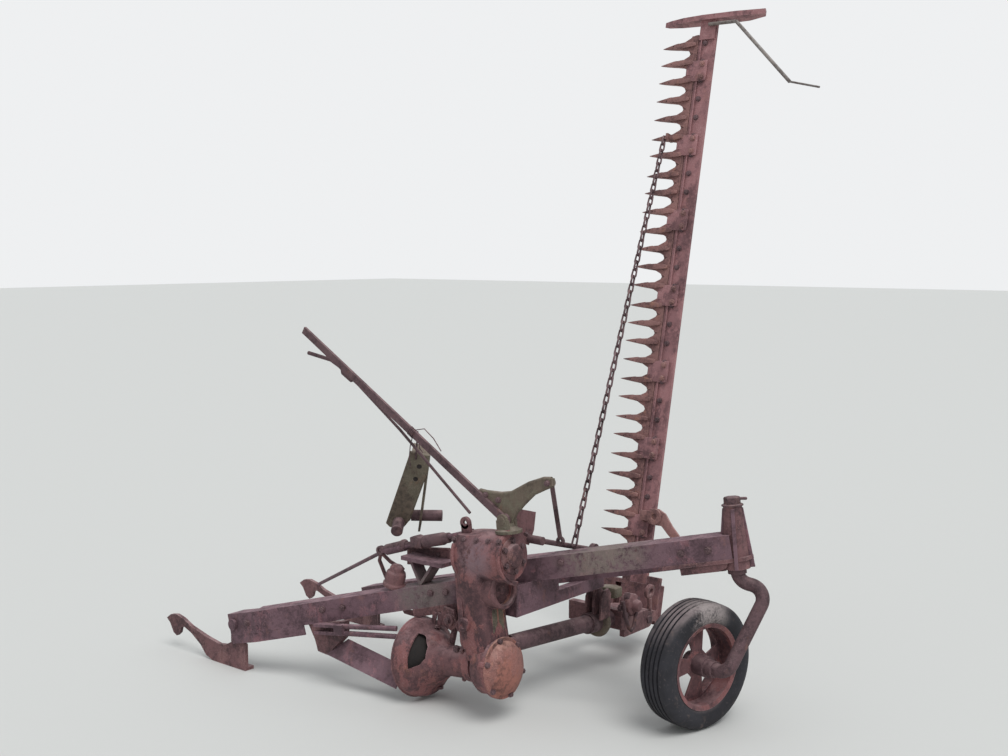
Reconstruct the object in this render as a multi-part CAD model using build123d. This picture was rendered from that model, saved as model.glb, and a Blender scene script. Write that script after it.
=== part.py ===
# Folded sickle bar mower, towed type, parked with its cutter bar folded up.
# Millimetres. X points forward (the way it is towed), Y to the left, Z up, floor at Z = 0.
# Pieces are laid out from the near hitch hook, then moved so that the origin is the middle
# of the whole machine's footprint on the floor.
import math
import os

from build123d import *

os.makedirs("parts", exist_ok=True)

# Layout of the whole machine, measured from the rear foot of the near hitch hook
origin_x = -632.0
origin_y = -842.0
frame_pitch = 6.0  # the parked frame leans forward by this many degrees
hook_spacing = 670.0

# Angle iron beams that meet at the caster post
angle_leg = 76.0
angle_wall = 8.0
beam_front_x = 85.0
beam_front_top = 200.0
far_front_top = 160.0
far_hook_back = 10.0  # the far hook and beam front sit this much further back
far_rear_x = -1600.0
far_rear_top = 600.0
bend_x = -60.0  # ahead of this the beams run straight forward into the hooks
near_beam_front_y = 12.0
near_beam_rear = (-1640.0, -612.0)
beam_rear_top = 628.0
knee_x = -780.0  # behind this the near beam rises past the gear case
rise_end_x = -925.0
rise_end_top = 490.0
near_rear_top = 638.0

# Caster post and wheel
post_x = -1645.0
post_y = -662.0
post_foot_z = 524.0
post_height = 200.0
post_top_r = 30.0
post_foot_r = 43.0
stem_r = 22.0
tyre_outer_d = 414.0
tyre_width = 124.0
rim_d = 264.0
wheel_x = -1540.0
wheel_y = -592.0
wheel_turn = 12.0  # the parked wheel is swivelled this many degrees from square
arm_reach = 133.0

# Gear case, in its own pitched frame: origin on the lower shaft line at the rear face
case_x = -1040.0
case_y = -220.0
case_z = 180.0
lower_r = 90.0
lower_depth = 78.0
column_front = 118.0
case_rise = 372.0
upper_r = 80.0
upper_rear = -80.0
upper_front = 118.0
column_half_width = 70.0
bearing_bore_r = 46.0
bearing_rise = 258.0
bell_r = 134.0
bell_mouth = 381.0
bell_wall = 5.0
tunnel_r = 51.0
input_shaft_r = 17.5
input_shaft_length = 80.0
inner_shaft_r = 20.0

# Coupling tube to the inner shoe, and the fold hinge
tube_x = -1000.0
tube_r = 30.0
tube_wall = 6.0
hinge_y = -1060.0
hinge_z = 150.0
hinge_pin_r = 14.0
fold_angle = 77.8

# Cutter bar, laid out lowered: u runs outboard from the hinge, v is up from the bar's top face
bar_drop = 99.0
bar_rear_x = -967.0
bar_width = 76.0
bar_thick = 12.0
bar_start = 118.0
bar_end = 2366.0
guard_pitch = 76.2
guard_count = 28
guard_first = 224.6
guard_reach = 245.0
knife_thick = 3.0
clip_every = 4

# Hand lever
lever_tip = (-112.0, 1246.0)
lever_width = 26.0
lever_thick = 10.0
lever_pin_r = 12.0
crank_thick = 16.0

running_gap = 0.3


def keep(name, shape):
    """Write one named piece in the machine's own frame."""
    export_step(Pos(-origin_x, -origin_y, 0) * shape, f"parts/{name}.step")


def rod(start, end, radius):
    """A round bar from one point to another."""
    start = Vector(*start)
    run = Vector(*end) - start
    return Plane(origin=start, z_dir=run) * Cylinder(
        radius, run.length, align=(Align.CENTER, Align.CENTER, Align.MIN)
    )


def pipe(start, end, radius, bore):
    """A round tube from one point to another."""
    return rod(start, end, radius) - rod(start, end, bore)


def flat(start, end, side, height):
    """A straight bar of rectangular section, given its size sideways and its height."""
    start = Vector(*start)
    run = Vector(*end) - start
    frame = Plane(origin=start, x_dir=Vector(0, 0, 1).cross(run), z_dir=run)
    return frame * Box(side, height, run.length, align=(Align.CENTER, Align.CENTER, Align.MIN))


def block(low, high):
    """A box between two corners."""
    size = [b - a for a, b in zip(low, high)]
    middle = [(a + b) / 2 for a, b in zip(low, high)]
    return Pos(*middle) * Box(*size)


def side_plate(outline, y_left, thick, corner=0.0):
    """A flat plate seen from the side: outline in X and Z, thickness towards -Y."""
    face = make_face(Polyline(*outline, close=True))
    if corner:
        face = fillet(face.vertices(), corner)
    return Pos(0, y_left, 0) * extrude(Plane.XZ * face, thick)


def rear_plate(outline, x_front, thick, corner=0.0):
    """A flat plate seen from the front: outline in Y and Z, thickness towards -X."""
    face = make_face(Polyline(*outline, close=True))
    if corner:
        face = fillet(face.vertices(), corner)
    return Pos(x_front, 0, 0) * extrude(Plane.YZ * face, -thick)


# Beams


def angle_run(start, end):
    """A straight length of angle iron: an upright leg with its flange at the top, to the right."""
    start = Vector(*start)
    run = Vector(*end) - start
    side = Vector(0, 0, 1).cross(run).normalized()
    frame = Plane(origin=start, x_dir=side, z_dir=run)
    up = 1 if frame.y_dir.Z > 0 else -1
    outline = [
        (0, 0),
        (0, -up * angle_leg),
        (angle_wall, -up * angle_leg),
        (angle_wall, -up * angle_wall),
        (angle_leg, -up * angle_wall),
        (angle_leg, 0),
    ]
    return extrude(frame * make_face(Polyline(*outline, close=True)), run.length)


def angle_beam(*points):
    """Angle iron on edge, bent at every point between its ends."""
    beam = angle_run(points[0], points[1])
    for start, end in zip(points[1:], points[2:]):
        beam += angle_run(start, end)
    return beam


def beam_top(x, front_top=beam_front_top):
    """Height of a beam's top edge at a place along the machine."""
    share = (x - beam_front_x) / (near_beam_rear[0] - beam_front_x)
    return front_top + share * (beam_rear_top - front_top)


def near_plan_y(x):
    """Side position of the near beam's outer face behind its bend."""
    share = (x - bend_x) / (near_beam_rear[0] - bend_x)
    return near_beam_front_y + share * (near_beam_rear[1] - near_beam_front_y)


def beam_run(points):
    """The straight part of a beam behind its bend."""
    return Vector(*points[2]) - Vector(*points[1])


far_front_y = near_beam_front_y - hook_spacing
far_rear_y = 2 * post_y - near_beam_rear[1]
near_points = [
    (beam_front_x, near_beam_front_y, beam_front_top),
    (bend_x, near_beam_front_y, beam_top(bend_x)),
    (knee_x, near_plan_y(knee_x), beam_top(knee_x)),
]
near_rear_points = [
    near_points[2],
    (rise_end_x, near_plan_y(rise_end_x), rise_end_top),
    (*near_beam_rear, near_rear_top),
]
far_points = [
    (beam_front_x - far_hook_back, far_front_y, far_front_top),
    (bend_x - far_hook_back, far_front_y, beam_top(bend_x, far_front_top)),
    (far_rear_x, far_rear_y, far_rear_top),
]

# Hitch hooks: a foot plate, an arm and a claw that drops over the tractor's drawbar

hook_outline = [
    (0, 0),
    (0, 100),
    (60, 104),
    (110, 78),
    (150, 72),
    (225, 84),
    (320, 106),
    (372, 128),
    (410, 136),
    (446, 130),
    (472, 112),
    (452, 96),
    (432, 62),
    (412, 52),
    (394, 66),
    (386, 90),
    (362, 96),
    (318, 80),
    (262, 46),
    (232, 14),
    (190, 0),
]
hook_thick = 15.0
pin_r = 13.0
pin_x = 50.0
pin_below_top = 40.0
hook_sides = {
    "near_hook": (0.0, near_beam_front_y - angle_wall - running_gap, beam_front_top),
    "far_hook": (far_hook_back, far_front_y - angle_wall - running_gap, far_front_top),
}


def pin_height(front_top):
    """Height of the pin that holds a hook to its beam."""
    return beam_top(pin_x, front_top) - pin_below_top


def pin_rod(y_left, front_top, left, right, radius):
    """A round along the hook pin's line, from left of the hook's face to right of it."""
    z = pin_height(front_top)
    return rod((pin_x, y_left + left, z), (pin_x, y_left - right, z), radius)


def hook(y_left, front_top):
    """One hitch hook with its foot flange, rib and upright ear for the beam pin."""
    z = pin_height(front_top)
    body = side_plate(hook_outline, y_left, hook_thick)
    ear_outline = [(6, 90), (6, z + 8), (22, z + 21), (58, z + 21), (78, z + 4), (78, 90)]
    ear = side_plate(ear_outline, y_left, hook_thick)
    foot = block((0, y_left - 40, 0), (150, y_left - hook_thick, 12))
    rib = block((205, y_left - 30, 30), (219, y_left - hook_thick, 70))
    return body + ear + foot + rib - pin_rod(y_left, front_top, 60, 60, pin_r + running_gap)


knee = Vector(*near_points[2])
knee_lap = beam_run(near_points).normalized() * 16
near_beam = angle_beam(*near_points, *near_rear_points[1:]) + angle_run(knee, knee + knee_lap)
far_beam = angle_beam(*far_points)
hitch_pins = []
for name, (back, y_left, front_top) in hook_sides.items():
    place = Pos(-back, 0, 0)
    keep(name, place * hook(y_left, front_top))
    near_beam -= place * pin_rod(y_left, front_top, 30, 30, pin_r + running_gap)
    far_beam -= place * pin_rod(y_left, front_top, 30, 30, pin_r + running_gap)
    seat = angle_wall + 2 * running_gap
    head = pin_rod(y_left, front_top, seat + 10, -seat, pin_r + 7)
    hitch_pins.append(place * (pin_rod(y_left, front_top, seat + 1, 38, pin_r) + head))
keep("hitch_pins", Compound(hitch_pins))

# Strap under the front of the near beam, bent with it

strap_height = 34.0
strap_front = 62.0
strap_rear = -250.0


def beam_lean(points):
    """Length of a beam over its length on the floor plan."""
    run = beam_run(points)
    return run.length / math.hypot(run.X, run.Y)


def beam_under(x, points):
    """Height of a beam's lower edge at a place along the machine."""
    run = beam_run(points)
    return points[1][2] + (x - points[1][0]) / run.X * run.Z - angle_leg * beam_lean(points)


def leg_middle(x, points, drop):
    """A point under a beam's upright leg, some way square below its lower edge."""
    y = near_plan_y(x) if x < bend_x else points[0][1]
    return (x, y - angle_wall / 2, beam_under(x, points) - drop * beam_lean(points))


def flange_top(x, y, reach, points):
    """Highest spot of a beam's flange within some reach of a place on it."""
    run = beam_run(points)
    length = math.hypot(run.X, run.Y)
    along = ((x - points[1][0]) * run.X + (y - points[1][1]) * run.Y) / length + reach
    return points[1][2] + along / length * run.Z


strap_drop = 2 * running_gap + strap_height / 2
front_strap = flat(
    leg_middle(strap_front, near_points, strap_drop),
    leg_middle(bend_x - 3, near_points, strap_drop),
    angle_wall - 1,
    strap_height,
) + flat(
    leg_middle(bend_x + 0.01, near_points, strap_drop),
    leg_middle(strap_rear, near_points, strap_drop),
    angle_wall - 1,
    strap_height,
)
keep("front_strap", front_strap)

# Caster head: the casting that joins both beams and carries the caster stem

pitch = math.radians(frame_pitch)
post_axis = Vector(math.sin(pitch), 0, math.cos(pitch))
post_foot = Vector(post_x, post_y, post_foot_z)
post_frame = Plane(
    origin=post_foot, x_dir=(math.cos(pitch), 0, -math.sin(pitch)), z_dir=post_axis
)
rise_up = (Align.CENTER, Align.CENTER, Align.MIN)
post = post_frame * Cone(post_foot_r, post_top_r, post_height, align=rise_up)
post_bore = Cylinder(stem_r + running_gap, post_height + 60, align=rise_up)
post_bore = post_frame * Pos(0, 0, -20) * post_bore
post_room = post_frame * Cylinder(post_foot_r + running_gap, post_height, align=rise_up)
seat_length = 200.0
seat_thick = 12.0


def beam_seat(points, outline, low, high):
    """A shelf that follows the slope of a beam's lower edge: outline along the beam and in Y."""
    run = beam_run(points)
    frame = Plane(
        origin=(points[2][0], 0, beam_under(points[2][0], points) - running_gap),
        x_dir=(-run.X, 0, -run.Z),
        z_dir=(run.Z, 0, -run.X),
    )
    shelf = make_face(Polyline(*outline, close=True))
    return frame * Pos(0, 0, low) * extrude(Plane.XY * shelf, high - low)


near_seat = [(-48, -640), (-48, -690), (0, -700), (seat_length, -700), (seat_length, -532), (6, -608)]
far_seat = [(-10, -650), (-10, -724), (160, -722), (160, -650)]
far_boss = [(-10, -644), (-10, -690), (150, -690), (150, -654)]
web_outline = [(0, -678), (150, -678), (150, -648), (0, -648)]
caster_head = (
    post
    + beam_seat(near_rear_points, near_seat, -seat_thick, 0)
    + beam_seat(far_points, far_seat, -seat_thick, 0)
    + beam_seat(far_points, far_boss, -seat_thick, 38)
    + beam_seat(near_rear_points, web_outline, -1, 56)
    - post_bore
)
keep("caster_head", caster_head)
keep("near_beam", near_beam - post_room)
keep("far_beam", far_beam - post_room)
cap_height = 30.0
post_cap = Pos(0, 0, post_height + running_gap) * Cylinder(post_top_r - 3, cap_height, align=rise_up)
keep("post_cap", post_frame * post_cap)

# Caster arm: stem, swan neck down beside the tyre, and stub axle

wheel_middle = Vector(wheel_x, wheel_y, tyre_outer_d / 2)
turn = math.radians(wheel_turn)
axle_way = Vector(-math.cos(turn), math.sin(turn), 0)
arm_route = [
    tuple(post_foot + post_axis * (post_height - 6)),
    tuple(post_foot - post_axis * 42),
    (-1742, -695, 462),
    tuple(wheel_middle + axle_way * arm_reach),
    tuple(wheel_middle - axle_way * 6),
]
arm_line = FilletPolyline(*arm_route, radius=[45, 45, 40])
arm_start = Plane(origin=arm_route[0], z_dir=-post_axis)
arm_tube = sweep(arm_start * Circle(stem_r), path=arm_line)
collar = Pos(0, 0, -running_gap) * Cylinder(30, 16, align=(Align.CENTER, Align.CENTER, Align.MAX))
keep("caster_arm", arm_tube + post_frame * collar)

# Wheel: tyre, dished rim and hub, swivelled nearly square to the travel direction as parked

wheel_frame = Plane(
    origin=wheel_middle, x_dir=(math.sin(turn), math.cos(turn), 0), z_dir=axle_way
)
tyre_r = tyre_outer_d / 2
rim_r = rim_d / 2
half = tyre_width / 2
tyre_outline = [
    (rim_r, 20 - half),
    (rim_r + 34, -half),
    (tyre_r - 22, 2 - half),
    (tyre_r - 4, 14 - half),
    (tyre_r, 0),
    (tyre_r - 4, half - 14),
    (tyre_r - 22, half - 2),
    (rim_r + 34, half),
    (rim_r, half - 20),
    (rim_r, half - 36),
    (rim_r + 34, half - 14),
    (tyre_r - 26, half - 16),
    (tyre_r - 18, 0),
    (tyre_r - 26, 16 - half),
    (rim_r + 34, 14 - half),
    (rim_r, 36 - half),
]
tyre_face = Plane.XZ * make_face(Polyline(*tyre_outline, close=True))
keep("tyre", wheel_frame * revolve(tyre_face, Axis.Z))

rim_wall = 5.0
rim_lip = 9.0
hub_r = 34.0
axle_r = stem_r
rim_outline = [
    (rim_r - 0.3, 19 - half),
    (rim_r - 0.3, half - 19),
    (rim_r + rim_lip, half - 12),
    (rim_r + rim_lip, half - 8),
    (rim_r - rim_wall, half - 13),
    (rim_r - rim_wall, 13 - half),
    (rim_r + rim_lip, 8 - half),
    (rim_r + rim_lip, 12 - half),
]
rim_band = revolve(Plane.XZ * make_face(Polyline(*rim_outline, close=True)), Axis.Z)
disc_outline = [
    (hub_r - 2, 10),
    (rim_r - rim_wall + 1, -8),
    (rim_r - rim_wall + 1, -14),
    (hub_r - 2, 4),
]
disc = revolve(Plane.XZ * make_face(Polyline(*disc_outline, close=True)), Axis.Z)
rim_window = [
    (hub_r + 12, -14),
    (rim_r - 24, -50),
    (rim_r - 14, 0),
    (rim_r - 24, 50),
    (hub_r + 12, 14),
]
window_cut = Pos(0, 0, -40) * extrude(make_face(Polyline(*rim_window, close=True)), 80)
for k in range(4):
    disc -= Rot(0, 0, 45 + 90 * k) * window_cut
rim = rim_band + disc
hub_front = 55.0
nose_r = 27.0
nose_front = 85.0
hub = Pos(0, 0, -30) * Cylinder(hub_r, hub_front + 30, align=rise_up)
hub += Pos(0, 0, hub_front - 1) * Cylinder(nose_r, nose_front - hub_front + 1, align=rise_up)
hub_bore = Pos(0, 0, -12) * Cylinder(
    axle_r + running_gap, 120, align=(Align.CENTER, Align.CENTER, Align.MIN)
)
rim -= Pos(0, 0, -60) * Cylinder(hub_r + 0.01, 120, align=(Align.CENTER, Align.CENTER, Align.MIN))
keep("wheel_rim", wheel_frame * rim)
keep("wheel_hub", wheel_frame * (hub - hub_bore))

# Gear case in its own pitched frame

case_frame = Plane(
    origin=(case_x, case_y, case_z),
    x_dir=(math.cos(pitch), 0, -math.sin(pitch)),
    z_dir=post_axis,
)


def shaft_drum(radius, start, end, rise=0.0):
    """A drum on a shaft line of the gear case, between two places along it."""
    return rod((start, 0, rise), (end, 0, rise), radius)


column_rear = 8.0
neck = 14.0
column = block((column_rear, -column_half_width, 20), (column_front, column_half_width, case_rise))
column = fillet(column.edges().filter_by(Axis.Z), 34)
case = column + shaft_drum(lower_r, 0, lower_depth)
case += shaft_drum(upper_r, upper_rear, upper_front, case_rise)
case += shaft_drum(lower_r + 10, 0, 16)
case += shaft_drum(bearing_bore_r + 14, -24, 40, bearing_rise)
case -= shaft_drum(bearing_bore_r, -30, 30, bearing_rise)
case += shaft_drum(tunnel_r + 8, column_front - 4, column_front + neck)
shaft_seat = column_front - 20
case -= shaft_drum(inner_shaft_r + running_gap, shaft_seat, column_front + neck + 1)
keep("gear_case", case_frame * case)

cap_r = lower_r + 8
lower_cap_outline = [(0, 0), (cap_r, 0), (cap_r - 4, 14), (cap_r - 34, 34), (0, 40)]
lower_cap = revolve(Plane.XZ * make_face(Polyline(*lower_cap_outline, close=True)), Axis.Z)
keep("lower_cap", case_frame * Plane(origin=(-running_gap, 0, 0), z_dir=(-1, 0, 0)) * lower_cap)
keep("upper_cap", case_frame * shaft_drum(48, upper_rear - 16, upper_rear - running_gap, case_rise))
core_seat = 30 - running_gap
core = shaft_drum(30, -16, core_seat, bearing_rise)
core += shaft_drum(bearing_bore_r - 0.5, 8, core_seat, bearing_rise)
keep("bearing_core", case_frame * core)

lid_top = case_rise + upper_r + 8
lid = block((-98, -46, lid_top - 20), (upper_front - 2, 46, lid_top))
lid -= shaft_drum(upper_r + running_gap, -200, 300, case_rise)
latch_eye_x = 90.0
latch_eye = block((latch_eye_x - 20, 18, lid_top - 2), (latch_eye_x + 20, 28, lid_top + 32))
latch_eye -= rod((latch_eye_x, 0, lid_top + 18), (latch_eye_x, 60, lid_top + 18), 8)
keep("case_lid", case_frame * (lid + latch_eye))

# Bell shield over the input shaft, open at the front, with a side window

bell_start = column_front + neck + running_gap
bell_outer = [
    (tunnel_r, bell_start),
    (tunnel_r, bell_mouth - 145),
    (tunnel_r + 27, bell_mouth - 109),
    (tunnel_r + 47, bell_mouth - 78),
    (bell_r - 6, bell_mouth - 51),
    (bell_r, bell_mouth - 29),
    (bell_r, bell_mouth),
]
bell_inner = [(r - bell_wall, z) for r, z in reversed(bell_outer)]
bell = revolve(Plane.XZ * make_face(Polyline(*bell_outer, *bell_inner, close=True)), Axis.Z)
bell_frame = Plane(origin=(0, 0, 0), x_dir=(0, 0, 1), z_dir=(1, 0, 0))
window_outline = [
    (318, 100), (296, 84), (276, 56), (274, 22), (290, 2), (322, -10), (322, 26), (319, 64),
]
window = side_plate(window_outline, bell_r + 20, bell_r)
keep("bell_shield", case_frame * (bell_frame * bell - window))
shaft_end = bell_mouth - 30
shaft = shaft_drum(input_shaft_r, shaft_seat + running_gap, shaft_end)
shaft += shaft_drum(inner_shaft_r, shaft_seat + running_gap, shaft_end - input_shaft_length)
keep("input_shaft", case_frame * shaft)

# Clamp that ties the bell's tunnel up to the near beam

clamp_front = -730.0
clamp_rear = -836.0
clamp_height = 50.0
clamp_drop = running_gap + clamp_height / 2
lip_front = -640.0
lip_height = 28.0
lip_drop = running_gap + lip_height / 2
case_clamp = flat(
    leg_middle(clamp_front, near_points, clamp_drop),
    leg_middle(clamp_rear, near_points, clamp_drop),
    10,
    clamp_height,
) + flat(
    leg_middle(lip_front, near_points, lip_drop),
    leg_middle(clamp_front - 1, near_points, lip_drop),
    10,
    lip_height,
)
case_clamp += rod((-790, -278, 292), (-790, -238, 170), 11)
bell_room = [(0, bell_start), *[(r + running_gap, z - running_gap) for r, z in bell_outer], (0, bell_mouth)]
bell_space = revolve(Plane.XZ * make_face(Polyline(*bell_room, close=True)), Axis.Z)
case_clamp -= case_frame * bell_frame * bell_space
keep("case_clamp", case_clamp)

# Cross arm from the gear case to the far beam, seated under both beams

arm_low = 331.0
arm_rear = tube_x - 40.0
arm_front = tube_x + 40.0


def arm_part(points, y_left, y_right):
    """A length of the cross arm whose top follows the slope of one beam's lower edge."""
    outline = [
        (arm_rear, arm_low),
        (arm_rear, beam_under(arm_rear, points) - running_gap),
        (arm_front, beam_under(arm_front, points) - running_gap),
        (arm_front, arm_low),
    ]
    return side_plate(outline, y_left, y_left - y_right)


cross_arm = arm_part(near_rear_points, case_y - column_half_width - running_gap, -520)
cross_arm += arm_part(far_points, -500, -790)
keep("cross_arm", cross_arm)

# Coupling tube and its yoke

yoke_left = -880.0
tube_start = (tube_x, case_y - lower_r + 10, 232)
tube_end = (tube_x, yoke_left - 12, 186)
tube = pipe(tube_start, tube_end, tube_r, tube_r - tube_wall)
tube += pipe((tube_x, -740, 197), (tube_x, -815, 192), tube_r + 7, tube_r - 1)
tube -= case_frame * shaft_drum(lower_r + 10 + running_gap, -60, 240)
tube -= block((tube_x - 60, yoke_left - 60, 100), (tube_x + 60, yoke_left, 300))
keep("drag_tube", tube)

yoke_front = bar_rear_x + 150
yoke_rear = bar_rear_x - 90
ear_thick = 22.0
yoke = block((yoke_rear, yoke_left - 30, 150), (yoke_front, yoke_left - running_gap, 222))
for x in (yoke_rear, yoke_front - ear_thick):
    yoke += block((x, hinge_y, hinge_z - 30), (x + ear_thick, yoke_left - 20, hinge_z + 40))
    yoke += rod((x, hinge_y, hinge_z), (x + ear_thick, hinge_y, hinge_z), 30)
yoke -= rod(
    (yoke_rear - 10, hinge_y, hinge_z),
    (yoke_front + 10, hinge_y, hinge_z),
    hinge_pin_r + 0.05,
)
keep("tube_yoke", yoke)

# Hand lever: a flat bar on a cranked casting, pivoted in a stand on the case lid

stand_x = -68.6
stand_rise = 490.5
lever_left = 17.0
crank_left = lever_left - lever_thick - running_gap
crank_right = crank_left - crank_thick
stand = rod((stand_x, lever_left + 13, stand_rise), (stand_x, crank_right - 13, stand_rise), lever_pin_r)
for low, high in ((lever_left + 1, lever_left + 11), (crank_right - 11, crank_right - 1)):
    stand += block((stand_x - 24, low, lid_top + running_gap), (stand_x + 24, high, stand_rise))
    stand += rod((stand_x, low, stand_rise), (stand_x, high, stand_rise), 20)
keep("lever_stand", case_frame * stand)

pivot = (case_frame * Pos(stand_x, 0, stand_rise)).position
pivot_x, pivot_z = pivot.X, pivot.Z


def pivot_rod(left, right, radius, x=0.0, z=0.0):
    """A round along Y through a place measured from the lever pivot."""
    start = (pivot_x + x, case_y + left, pivot_z + z)
    return rod(start, (pivot_x + x, case_y + right, pivot_z + z), radius)


lever_middle = case_y + lever_left - lever_thick / 2
hand_lever = flat(
    (pivot_x, lever_middle, pivot_z), (lever_tip[0], lever_middle, lever_tip[1]), lever_thick, lever_width
)
hand_lever += pivot_rod(lever_left, lever_left - lever_thick, 20)
hand_lever -= pivot_rod(60, -60, lever_pin_r + running_gap)
keep("hand_lever", hand_lever)

crank_outline = [
    (114, 81),
    (84, 79),
    (24, 81),
    (-20, 89),
    (-93, 130),
    (-149, 151),
    (-184, 154),
    (-187, 132),
    (-157, 121),
    (-108, 97),
    (-65, 57),
    (-43, 32),
    (-24, -5),
    (-14, -20),
    (14, -20),
    (26, -4),
    (24, 23),
    (54, 48),
    (84, 62),
    (114, 62),
]
link_x = -168.0
link_z = 138.0
link_pin_r = 7.0
crank_side = [(pivot_x + x, pivot_z + z) for x, z in crank_outline]
crank = side_plate(crank_side, case_y + crank_left, crank_thick)
crank -= pivot_rod(60, -60, lever_pin_r + running_gap)
crank -= pivot_rod(60, -60, link_pin_r + running_gap, link_x, link_z)
keep("lever_crank", crank)

grip_points = [(-121, 1162), (-240, 1143), (-318, 1108)]
grip_y = lever_middle - lever_thick / 2 - running_gap - 7
grip = rod(*[(x, grip_y, z) for x, z in grip_points[:2]], 7)
grip += rod(*[(x, grip_y, z) for x, z in grip_points[1:]], 7)
grip_pad = [(-300, 1096), (-346, 1070), (-354, 1086), (-310, 1120), (-290, 1130)]
grip += side_plate(grip_pad, grip_y + 7, 11)
keep("latch_grip", grip)
latch_points = [(-352, 1082), (-582, 921), (-899, 674)]
latch_rod = rod(*[(x, grip_y, z) for x, z in latch_points[:2]], 5)
latch_rod += rod(*[(x, grip_y, z) for x, z in latch_points[1:]], 5)
keep("latch_rod", latch_rod - side_plate(grip_pad, grip_y + 40, 80))

# Drop link from the crank; its lower eye hangs open beside the near beam

link_y = crank_right - 4 - running_gap
link_low = (-1140.0, -395.0, 585.0)
link = pivot_rod(crank_right - running_gap, crank_right - running_gap - 8, 14, link_x, link_z)
link += pivot_rod(crank_left + 4, crank_right - 4, link_pin_r, link_x, link_z)
link += flat((pivot_x + link_x, case_y + link_y, pivot_z + link_z), link_low, 14, 7)
link += rod((link_low[0], link_low[1] + 6, link_low[2]), (link_low[0], link_low[1] - 6, link_low[2]), 14)
link -= rod((link_low[0], link_low[1] + 20, link_low[2]), (link_low[0], link_low[1] - 20, link_low[2]), 7)
keep("drop_link", link)

# Yoke that hangs on a wire from the lever, turned and tilted as it hangs

knot = (-650.0, -236.0, 918.0)
yoke_tilt = math.radians(20.0)
plate_thick = 8.0
yoke_depth = 68.0
yoke_hang_frame = Plane(
    origin=(-631, -262, 841),
    x_dir=(-0.8, -0.6, 0),
    z_dir=(-0.6 * math.cos(yoke_tilt), 0.8 * math.cos(yoke_tilt), -math.sin(yoke_tilt)),
)
near_plate = [
    (-30, 4), (33, -14), (29, -66), (-48, -276), (-66, -300), (-85, -306), (-118, -302), (-131, -286),
    (-39, -22),
]
far_plate = [(28, -16), (36, -16), (-12, -325), (-20, -325)]
yoke_head = [(-26, 2), (33, -15), (28, -44), (-30, -30)]
near_pin = (-85.0, -281.0)
near_pin_r = 21.0
far_pin_u = -276.0
far_pin_depth = -38.0
far_pin_r = 20.0


def yoke_part(outline, front, rear):
    """A part of the hanging yoke: outline in its plate's plane, between two depths."""
    face = make_face(Polyline(*outline, close=True))
    return Pos(0, 0, rear) * extrude(Plane.XY * face, front - rear)


near_shaft = rod((*near_pin, -plate_thick - 12), (*near_pin, 60), near_pin_r)
far_shaft = rod((-44, far_pin_u, far_pin_depth), (66, far_pin_u, far_pin_depth), far_pin_r)
yoke_plates = yoke_part(near_plate, 0, -plate_thick)
yoke_plates += yoke_part(far_plate, -plate_thick, -yoke_depth)
yoke_plates += yoke_part(yoke_head, -plate_thick, -yoke_depth)
yoke_plates -= near_shaft + far_shaft
keep("hanging_yoke", yoke_hang_frame * yoke_plates)
near_shaft = rod((*near_pin, -plate_thick - 12), (*near_pin, 60), near_pin_r - 0.1)
far_shaft = rod((-44, far_pin_u, far_pin_depth), (66, far_pin_u, far_pin_depth), far_pin_r - 0.1)
keep("yoke_pins", yoke_hang_frame * Compound([near_shaft, far_shaft]))

tie = (yoke_hang_frame * Pos(-12, -24, 3.4)).position
wire = rod((knot[0], lever_middle - lever_thick / 2 - running_gap, knot[2]), knot, 4)
wire += rod(knot, tuple(tie), 3)
keep("hanger_wire", wire)

# Curved guard beside the lever, and the lift rod it holds

guard_x = -1046.0
guard_thick = 8.0
lid_edge_z = 644.5
lever_guard = rear_plate(
    [
        (-256, lid_edge_z),
        (-256, 690),
        (-279, 700),
        (-374, 673),
        (-364, 614),
        (-337, 568),
        (-308, 580),
        (-292, 602),
        (-270, lid_edge_z),
    ],
    guard_x,
    guard_thick,
)
keep("lever_guard", lever_guard)
lift_x = -1100.0
lift_top = (lift_x, -337, 590)
lift_low = (lift_x, -624, 507)
lift_rod = rod(lift_top, lift_low, 9)
lift_rod += rod((guard_x - guard_thick - running_gap, -337, 590), (lift_x - 12, -337, 590), 14)
lift_rod += rod((lift_x - 8, -640, 503), (lift_x + 8, -640, 503), 22)
lift_rod -= rod((lift_x - 20, -640, 503), (lift_x + 20, -640, 503), 10)
keep("lift_rod", lift_rod)

# Hitch bracket between the beams, with the brace plate and drawn rods that start at it

bracket_left = -80.0
bracket_thick = 30.0
bracket_front = -256.0
bracket_rear = -436.0
bracket_foot = (-352.0, 114.0)
bracket_waist = (-434.0, 194.0)
bracket_outline = [
    (bracket_front, beam_under(bracket_front, near_points) - running_gap),
    (-289, 156),
    (-303, 118),
    bracket_foot,
    bracket_waist,
    (bracket_rear, beam_under(bracket_rear, near_points) - running_gap),
]
keep("hitch_bracket", side_plate(bracket_outline, bracket_left, bracket_thick))

fork_width = 27.0
fork_y = bracket_left + running_gap + fork_width / 2
brace_rods = flat((-312, fork_y, 206), (-455, fork_y, 228), fork_width, 36)
brace_rods -= flat((-300, fork_y, 204), (-415, fork_y, 222), fork_width + 2, 16)
for start_z, end_z in ((238, 252), (214, 224)):
    brace_rods += rod((-440, fork_y, start_z), (-638, -137, end_z), 9)
keep("brace_rods", brace_rods)

plate_run_start = Vector(-300, -84, 168)
plate_run_end = Vector(-650, -145, 79)
plate_frame = Plane(
    origin=plate_run_start,
    x_dir=(0.3, -0.45, 0.8),
    z_dir=plate_run_end - plate_run_start,
)
plate_length = (plate_run_end - plate_run_start).length
brace_plate = plate_frame * Box(80, 10, plate_length, align=rise_up)
brace_plate -= side_plate(
    [
        (0, 0),
        (-250, 0),
        (bracket_foot[0] - running_gap, bracket_foot[1] - running_gap),
        (bracket_waist[0] - running_gap, bracket_waist[1] - running_gap),
        (bracket_waist[0] - running_gap, 400),
        (0, 400),
    ],
    100,
    400,
)
keep("brace_plate", brace_plate)

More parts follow.
